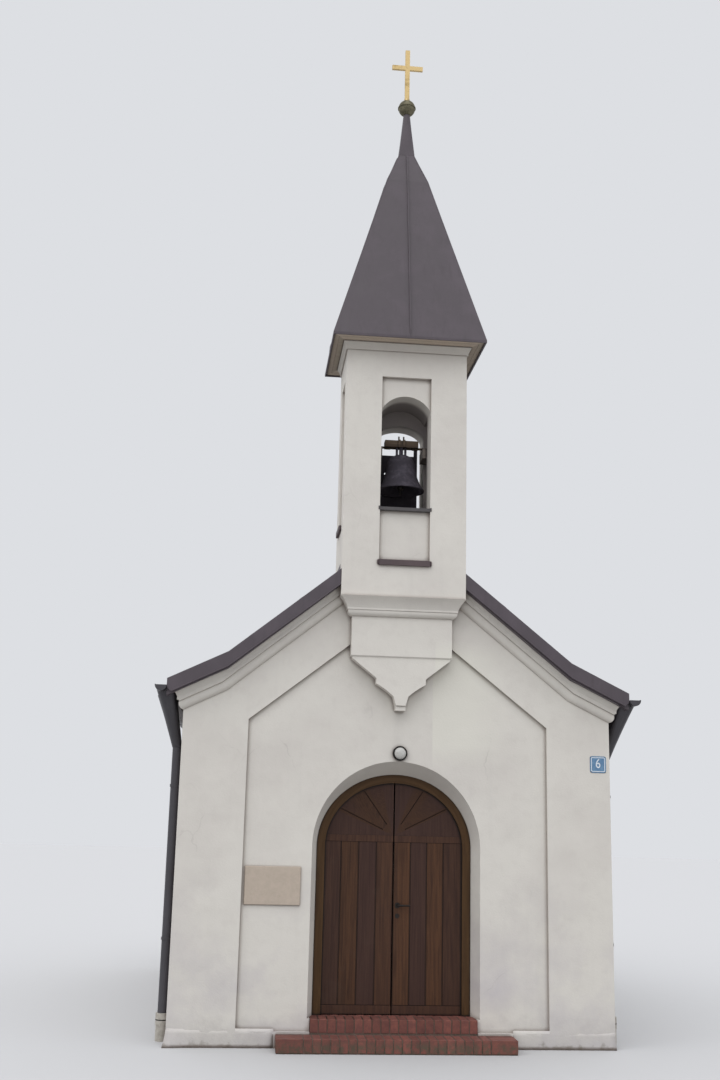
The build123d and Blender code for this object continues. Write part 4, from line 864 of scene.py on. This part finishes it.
bm = start_mesh()
for x, y in ((0, -1), (-1, 0), (0, 1), (1, 0)):
    line = spire_line(x, y)
    out = Vector((x, y, 0))
    width = Vector((abs(y), abs(x), 0)) * FACE_SEAM_WIDE
    low = [p - out * SEAM_SUNK - width / 2 for p in line]
    high = [p + out * FACE_SEAM_HIGH - width / 2 for p in [line[0].lerp(line[1], 0.04)] + line[1:]]
    add_prism(bm, low + list(reversed(high)) + [line[0] - width / 2], width)
new_piece("spire_face_seams", bm, painted_sheet_steel)

bm = start_mesh()
for x, y in CORNERS:
    tucks = [Vector((-x, -y, 0)) * depth for depth in ROLL_TUCKS]
    add_rod(bm, [point + tuck for point, tuck in zip(spire_line(x, y), tucks)], ROLL_RADIUS, 6)
new_piece("spire_hip_rolls", bm, painted_sheet_steel)

bm = start_mesh()
loop = [(x * DRIP_HALF_X, TURRET_MIDDLE + y * DRIP_HALF_Y, DRIP_Z) for x, y in CORNERS]
for a, b in zip(loop, loop[1:] + loop[:1]):
    add_rod(bm, [a, b], DRIP_RADIUS, 6)
new_piece("spire_drip_fold", bm, painted_sheet_steel)
print("seams folded")

# %% [markdown]
# ## Soffit boards
# The spire's wide eaves are closed from below with painted boards, two to a side and mitred
# at the corners, so that the joints run round the turret like picture frames.

# %% Close the eaves with boards
SOFFIT_LOW, SOFFIT_TOP = 6.7405, 6.7515
SOFFIT_OUTER, SOFFIT_INNER = Vector((0.7605, 0.5985)), Vector((0.655, 0.4385))
bm = start_mesh()
for start, stop in ((0.0, 0.492), (0.508, 1.0)):
    big, small = (SOFFIT_OUTER.lerp(SOFFIT_INNER, share) for share in (start, stop))
    for q in range(4):
        here, there = CORNERS[q], CORNERS[(q + 1) % 4]
        board = ((big, here), (big, there), (small, there), (small, here))
        ring = [(half.x * x, TURRET_MIDDLE + half.y * y, SOFFIT_LOW) for half, (x, y) in board]
        # Painted shade: the side boards take a dark tone, the front and back boards a light one.
        tone = random.uniform(0.7, 1.0) if q in (0, 2) else random.uniform(0.0, 0.2)
        add_prism(bm, ring, (0, 0, SOFFIT_TOP - SOFFIT_LOW), tone)
add_block(bm, (-SOFFIT_INNER.x, TURRET_MIDDLE - SOFFIT_INNER.y, SOFFIT_LOW + 0.004),
          (SOFFIT_INNER.x, TURRET_MIDDLE + SOFFIT_INNER.y, SOFFIT_TOP))
soffit = new_piece("spire_soffit_boards", bm, painted_boards)
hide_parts("spire_soffit")
print("soffit boards:", len(soffit.data.polygons), "faces")

# %% [markdown]
# ## Lamp over the door
# A bulkhead lamp: a narrow black ring of glazed cast metal holds a shallow dome of opal
# glass that has gone dull. Both are turned forms, so a profile is spun round an axis.

# %% Make the lamp
LAMP_PLACE = Matrix.Translation((0.015, FIELD - 0.0003, 2.650)) @ FACING_FRONT
DOME_RADIUS, DOME_HIGH = 0.056, 0.030
RING_PROFILE = [(0.0, 0.0), (0.066, 0.0), (0.070, 0.004), (0.070, 0.030), (0.068, 0.037),
                (0.063, 0.040), (0.058, 0.037), (0.0565, 0.030), (0.0, 0.030)]

bm = start_mesh()
add_lathe(bm, RING_PROFILE, LAMP_PLACE, steps=48)
lamp_ring = new_piece("lamp_ring", bm, black_iron)
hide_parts("wall_lamp")

bm = start_mesh()
dome = [(0.0, 0.0305), (DOME_RADIUS, 0.0305)]
for degrees in range(0, 91, 10):
    angle = math.radians(degrees)
    dome.append((DOME_RADIUS * math.cos(angle), 0.032 + DOME_HIGH * math.sin(angle)))
add_lathe(bm, dome, LAMP_PLACE, steps=48)
lamp_dome = new_piece("lamp_dome", bm, opal_glass)
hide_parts("wall_lamp")
for piece in (lamp_ring, lamp_dome):
    piece.data.shade_smooth()
print("lamp made")

# %% [markdown]
# ## House number
# The plate is steel pressed into a shallow tray and enamelled twice: blue all over, then
# white through a stencil for the border line and one plain numeral. So the white parts are
# separate thin shapes that lie on the blue, as the second coat does. Four small screws with
# rusty heads hold it.

# %% Make the number plate
PLATE_LOW, PLATE_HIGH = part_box("number_plate")
PLATE_MIDDLE = Vector(((PLATE_LOW[0] + PLATE_HIGH[0]) / 2, 0, (PLATE_LOW[2] + PLATE_HIGH[2]) / 2))
PLATE_HALF = (PLATE_HIGH[0] - PLATE_LOW[0]) / 2
PLATE_FACE = PLATE_LOW[1]
PLATE_RADIUS = 0.018
COAT = 0.0004           # metres from the plate's CAD face to the white coat
NUMERAL_SIZE = 0.132
SCREW_PROFILE = [(0.0, 0.0), (0.0045, 0.0), (0.0042, 0.0010), (0.0025, 0.0016), (0.0, 0.0018)]


def rounded_square(inset, radius, y):
    """The points of a square with round corners, a little smaller than the plate."""
    half = PLATE_HALF - inset
    points = []
    for turn, (sign_x, sign_z) in enumerate(((1, 1), (-1, 1), (-1, -1), (1, -1))):
        for k in range(5):
            angle = math.radians(turn * 90 + k * 22.5)
            x = sign_x * (half - radius) + radius * math.cos(angle)
            z = sign_z * (half - radius) + radius * math.sin(angle)
            points.append(PLATE_MIDDLE + Vector((x, y, z)))
    return points


bm = start_mesh()
add_skin(bm, [rounded_square(0, PLATE_RADIUS, FACADE - FIT),
              rounded_square(0, PLATE_RADIUS, PLATE_FACE + 0.002),
              rounded_square(0.004, PLATE_RADIUS - 0.004, PLATE_FACE + 2 * COAT)])
plate = new_piece("number_plate_tray", bm, blue_enamel)
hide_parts("number_plate")

bm = start_mesh()
add_skin(bm, [rounded_square(0.010, PLATE_RADIUS - 0.006, PLATE_FACE + COAT),
              rounded_square(0.0165, PLATE_RADIUS - 0.011, PLATE_FACE + COAT)], capped=False)
made = bmesh.ops.extrude_face_region(bm, geom=list(bm.faces))["geom"]
rear = [part for part in made if isinstance(part, bmesh.types.BMVert)]
bmesh.ops.translate(bm, vec=(0, 0.0005, 0), verts=rear)
new_piece("number_plate_border", bm, white_enamel)

curve = bpy.data.curves.new("numeral", "FONT")
curve.body = "6"
curve.size = NUMERAL_SIZE
curve.extrude = 0.0003
curve.align_x = "CENTER"
curve.align_y = "CENTER"
numeral_shape = bpy.data.objects.new("numeral", curve)
bpy.context.scene.collection.objects.link(numeral_shape)
bpy.context.view_layer.update()
graph = bpy.context.evaluated_depsgraph_get()
numeral_mesh = bpy.data.meshes.new_from_object(numeral_shape.evaluated_get(graph))
bpy.data.objects.remove(numeral_shape)
numeral_mesh.transform(Matrix.Translation(PLATE_MIDDLE + Vector((0, PLATE_FACE + COAT, 0.006)))
                       @ FACING_FRONT @ Matrix.Diagonal((0.8, 0.95, 1, 1)))
bm = bmesh.new()
bm.from_mesh(numeral_mesh)
numeral = new_piece("number_plate_numeral", bm, white_enamel)

bm = start_mesh()
for x, z in CORNERS:
    spot = PLATE_MIDDLE + Vector((x * (PLATE_HALF - 0.008), PLATE_FACE + 0.001, z * (PLATE_HALF - 0.008)))
    add_lathe(bm, SCREW_PROFILE, Matrix.Translation(spot) @ FACING_FRONT, steps=12)
new_piece("number_plate_screws", bm, black_iron)
print("plate made:", [round(v, 3) for v in numeral.dimensions])

# %% [markdown]
# ## Ears of the sills
# The sill and ledge sheets are a little longer than the opening. At each end the sheet is
# folded down round the corner of the render, which leaves a small rounded ear.

# %% Fold the ears
LEDGE_LOW, LEDGE_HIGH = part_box("tower_ledges")
SILL_LOW, SILL_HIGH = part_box("bell_sills")
LEDGE_HALF = SILL_HIGH[0]
SIDE_LEDGE_HALF = LEDGE_HIGH[1] - TURRET_MIDDLE
LEDGE_EAR, SILL_EAR = 0.018, 0.013
LEDGE_EAR_TOP = 4.498
TOUCH = 0.0003          # metres between an ear and the render behind it

bm = start_mesh()
for side in (-1, 1):
    add_block(bm, (side * LEDGE_HALF, LEDGE_LOW[1] + 0.001, LEDGE_LOW[2] + 0.001),
              (side * (LEDGE_HALF + LEDGE_EAR), TURRET_FRONT - TOUCH, LEDGE_EAR_TOP), edge=0.008)
    for end in (-1, 1):
        add_block(bm, (side * (TURRET_HIGH[0] + TOUCH), TURRET_MIDDLE + end * SIDE_LEDGE_HALF,
                       LEDGE_HIGH[2] - 0.068),
                  (side * (LEDGE_HIGH[0] - 0.001), TURRET_MIDDLE + end * (SIDE_LEDGE_HALF + LEDGE_EAR),
                   LEDGE_HIGH[2] - 0.014), edge=0.008)
new_piece("ledge_ears", bm, ledge_sheet_steel)

bm = start_mesh()
for side in (-1, 1):
    for y0, y1 in ((SILL_LOW[1] - 0.004, TURRET_FRONT - TOUCH),
                   (TURRET_BACK + TOUCH, SILL_HIGH[1] + 0.004)):
        add_block(bm, (side * LEDGE_HALF, y0, SILL_LOW[2] + 0.002),
                  (side * (LEDGE_HALF + SILL_EAR), y1, SILL_HIGH[2] - 0.006), edge=0.003)
new_piece("sill_ears", bm, sill_sheet_steel)
print("ears folded")

# %% [markdown]
# ## Edges of the roof sheets
# A roofer never leaves a raw edge: the verge sheet ends in a small round fold that also
# stiffens it, and where two lengths meet, one laps over the other by a few centimetres. The
# gutter's outer edge is rolled into a bead, and iron straps under it carry its weight.

# %% Fold the verges and the gutters
VERGE_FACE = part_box("rear_verges")[1][1]
VERGE_LINE = [Vector(p) for p in ((2.184, 3.1555), (1.661, 3.410), (0.6125, 4.2446))]
VERGE_TOP = [Vector(p) for p in ((2.224, 3.276), (1.661, 3.550), (0.6125, 4.3966))]
VERGE_END = Vector((0.01, 4.7359))      # at the back the fold climbs on to the ridge
LAP_SHARES = ((0, 0.55), (1, 0.18), (1, 0.62))
LAP_WIDE, LAP_THICK = 0.045, 0.0012
GUTTER_LOW, GUTTER_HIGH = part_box("gutters")
GUTTER_MIDDLE, GUTTER_EDGE = 2.2793, 2.3349
STRAP_INNER, STRAP_OUTER, STRAP_WIDE = 0.0553, 0.0583, 0.024
STRAP_START, STRAP_PITCH = -2.80, 0.70
FOLD_RADIUS, BEAD_RADIUS = 0.006, 0.0048

bm = start_mesh()
for out in (-1, 1):
    line = VERGE_LINE if out < 0 else VERGE_LINE[:-1] + [VERGE_END]
    for side in (-1, 1):
        add_rod(bm, stand_up(line, side, out * (VERGE_FACE + 0.001)), FOLD_RADIUS)
new_piece("verge_folds", bm, painted_sheet_steel)

bm = start_mesh()
for y in (-VERGE_FACE - LAP_THICK, VERGE_FACE):
    for side in (-1, 1):
        for part, share in LAP_SHARES:
            low = VERGE_LINE[part].lerp(VERGE_LINE[part + 1], share)
            high = VERGE_TOP[part].lerp(VERGE_TOP[part + 1], share)
            along = (VERGE_TOP[part + 1] - VERGE_TOP[part]).normalized() * LAP_WIDE
            outline = [low, low + along, high + along, high]
            add_prism(bm, stand_up(outline, side, y), (0, LAP_THICK, 0))
new_piece("verge_laps", bm, painted_sheet_steel)

bm = start_mesh()
for side in (-1, 1):
    x = side * (GUTTER_HIGH[0] - 0.004)
    add_rod(bm, [(x, y, GUTTER_HIGH[2]) for y in (GUTTER_LOW[1], GUTTER_HIGH[1])], BEAD_RADIUS)
new_piece("gutter_beads", bm, gutter_sheet_steel)


def strap_arc(radius, most):
    """Points round the underside of a gutter, none of them further out than the given most."""
    turns = [math.radians(180 + degrees) for degrees in range(0, 181, 20)]
    return [(min(GUTTER_MIDDLE + radius * math.cos(t), most), GUTTER_HIGH[2] + radius * math.sin(t))
            for t in turns]


bm = start_mesh()
inner = strap_arc(STRAP_INNER, GUTTER_EDGE - 0.0001)
outer = strap_arc(STRAP_OUTER, GUTTER_EDGE)
for side in (-1, 1):
    for k in range(9):
        for i in range(len(inner) - 1):
            quad = [inner[i], inner[i + 1], outer[i + 1], outer[i]]
            add_prism(bm, stand_up(quad, side, STRAP_START + STRAP_PITCH * k), (0, STRAP_WIDE, 0))
new_piece("gutter_straps", bm, gutter_sheet_steel)
print("edges folded")

# %% [markdown]
# ## Gutter outlets
# Where a gutter drains, the tinsmith solders on a long sheet funnel: it clasps the gutter's
# end, lies against the cornice and slopes back down to the round pipe. It is ruled straight
# between a long rounded rectangle at the gutter and a circle at the pipe. A superellipse
# gives both: its power is small for the rectangle and one for the circle.

# %% Make the outlets
OUTLET_STEPS = 24
FUNNEL_TOP, FUNNEL_FOOT = Vector((2.2422, -2.75, 3.203)), Vector((2.118, -2.57, 2.66))
TOP_WIDE, TOP_DEEP, FOOT_RADIUS = 0.0920, 0.255, 0.0475
TOP_POWER = 0.35


def funnel_ring(side, share):
    """The funnel's outline at a share of the way from the gutter down to the pipe."""
    centre = FUNNEL_TOP.lerp(FUNNEL_FOOT, share)
    wide = TOP_WIDE + (FOOT_RADIUS - TOP_WIDE) * share
    deep = TOP_DEEP + (FOOT_RADIUS - TOP_DEEP) * share
    power = TOP_POWER + (1 - TOP_POWER) * share
    ring = []
    for k in range(OUTLET_STEPS):
        angle = 2 * math.pi * k / OUTLET_STEPS
        x, y = (math.copysign(abs(v) ** power, v) for v in (math.cos(angle), math.sin(angle)))
        ring.append((side * (centre.x + x * wide), centre.y + y * deep, centre.z))
    return ring


bm = start_mesh()
for side in (-1, 1):
    add_skin(bm, [funnel_ring(side, share) for share in (0.0, 0.25, 0.5, 0.75, 1.0)])
new_piece("gutter_outlets", bm, gutter_sheet_steel)
print("outlets made")

# %% [markdown]
# ## Flashing round the turret
# Rain would run in where the roof meets the turret, so a strip of sheet stands up against
# the render there and lies out over the roof. At the back it climbs with the two slopes.

# %% Fit the flashing
ROOF_AT_TURRET = 4.3886
ROOF_RISE = Vector((-KINK.x, RIDGE_Z - KINK.y)).normalized()
UPSTAND, APRON, FOLD = 0.085, 0.11, 0.0016
FLASHING_IN, FLASHING_OUT = TURRET_HIGH[0] + FIT, TURRET_HIGH[0] + FIT + FOLD
FLASHING_FRONT, FLASHING_BACK = FACADE + FIT, TURRET_BACK + FIT
LIFT, HIGH = Vector((0, 0.002)), Vector((0, UPSTAND))

bm = start_mesh()
for side in (-1, 1):
    add_block(bm, (side * FLASHING_IN, FLASHING_FRONT, ROOF_AT_TURRET),
              (side * FLASHING_OUT, FLASHING_BACK + APRON, ROOF_AT_TURRET + UPSTAND))
    top = Vector((FLASHING_OUT, ROOF_AT_TURRET + 0.003))
    low = top - ROOF_RISE * APRON
    outline = stand_up([top, low, low + LIFT, top + LIFT], side, FLASHING_FRONT)
    add_prism(bm, outline, (0, FLASHING_BACK + APRON - FLASHING_FRONT, 0))
    low = Vector((FLASHING_OUT, ROOF_AT_TURRET))
    top = low + ROOF_RISE * (low.x / -ROOF_RISE.x)
    outline = stand_up([low, top, top + HIGH, low + HIGH], side, FLASHING_BACK)
    add_prism(bm, outline, (0, FOLD, 0))
    outline = stand_up([low + LIFT, top + LIFT, top + LIFT * 2, low + LIFT * 2], side, FLASHING_BACK)
    add_prism(bm, outline, (0, APRON, 0))
new_piece("turret_flashing", bm, painted_sheet_steel)
print("flashing fitted")

# %% [markdown]
# ## Foot of the walls
# Over the years the lowest hand's breadth of render was patched again and again, so it
# swells out a little and unevenly, most of all at the left front corner. It is a skirt of
# points that follows the wall; each column of points is pushed out by a random amount.

# %% Swell the foot of the render
FOOT_HIGH, FOOT_SUNK = 0.165, 0.0004
LEFT_SWELL, RIGHT_SWELL, PLAIN_SWELL = 0.034, 0.010, 0.004
SWELL_FADE = 0.10       # metres over which a corner's swelling fades
FOOT_LEVELS = (1.0, 0.72, 0.45, 0.2, 0.0)
FOOT_START, FRONT_STEP, FLANK_STEP = 1.10, 0.05, 0.04


def foot_path(side):
    """Places along the wall's foot from beside the step, round the corner, to the side wall."""
    front = [(side * (FOOT_START + FRONT_STEP * k), FACADE, 0, -1) for k in range(19)]
    corner = [(side * WALL_HALF, FACADE, side * 0.7, -0.7)]
    flank = [(side * WALL_HALF, FACADE + FLANK_STEP * k, side, 0) for k in range(1, 6)]
    return front + corner + flank


bm = start_mesh()
for side in (-1, 1):
    swell_most = LEFT_SWELL if side < 0 else RIGHT_SWELL
    columns = []
    for x, y, out_x, out_y in foot_path(side):
        away = math.hypot(abs(x) - WALL_HALF, y - FACADE)
        swell = PLAIN_SWELL * random.uniform(0.4, 1.6) + swell_most * math.exp(-away / SWELL_FADE)
        pushes = [(level, swell * (1 - level) ** 1.6 - FOOT_SUNK * level) for level in FOOT_LEVELS]
        pushes += [(0.0, -FOOT_SUNK), (1.0, -FOOT_SUNK)]
        columns.append([(x + out_x * push, y + out_y * push, FOOT_HIGH * level + FIT)
                        for level, push in pushes])
    add_skin(bm, columns)
wall_foot = new_piece("wall_foot", bm, lime_render)
wall_foot.data.shade_smooth()
print("foot of the walls:", len(wall_foot.data.polygons), "faces")

# %% [markdown]
# ## Seals of the standpipes
# Each downpipe ends in a pale cast pipe at the ground. A black rubber ring closes the joint
# between its socket and its foot.

# %% Fit the seals
STANDPIPE_X, STANDPIPE_Y, SEAL_Z = 2.118, -2.57, 0.186
SEAL_PROFILE = [(0.0535, -0.005), (0.0602, -0.005), (0.0612, -0.002), (0.0612, 0.002),
                (0.0602, 0.005), (0.0535, 0.005), (0.0535, -0.005)]
bm = start_mesh()
for side in (-1, 1):
    add_lathe(bm, SEAL_PROFILE, Matrix.Translation((side * STANDPIPE_X, STANDPIPE_Y, SEAL_Z)))
new_piece("standpipe_seals", bm, black_iron)
print("seals fitted")
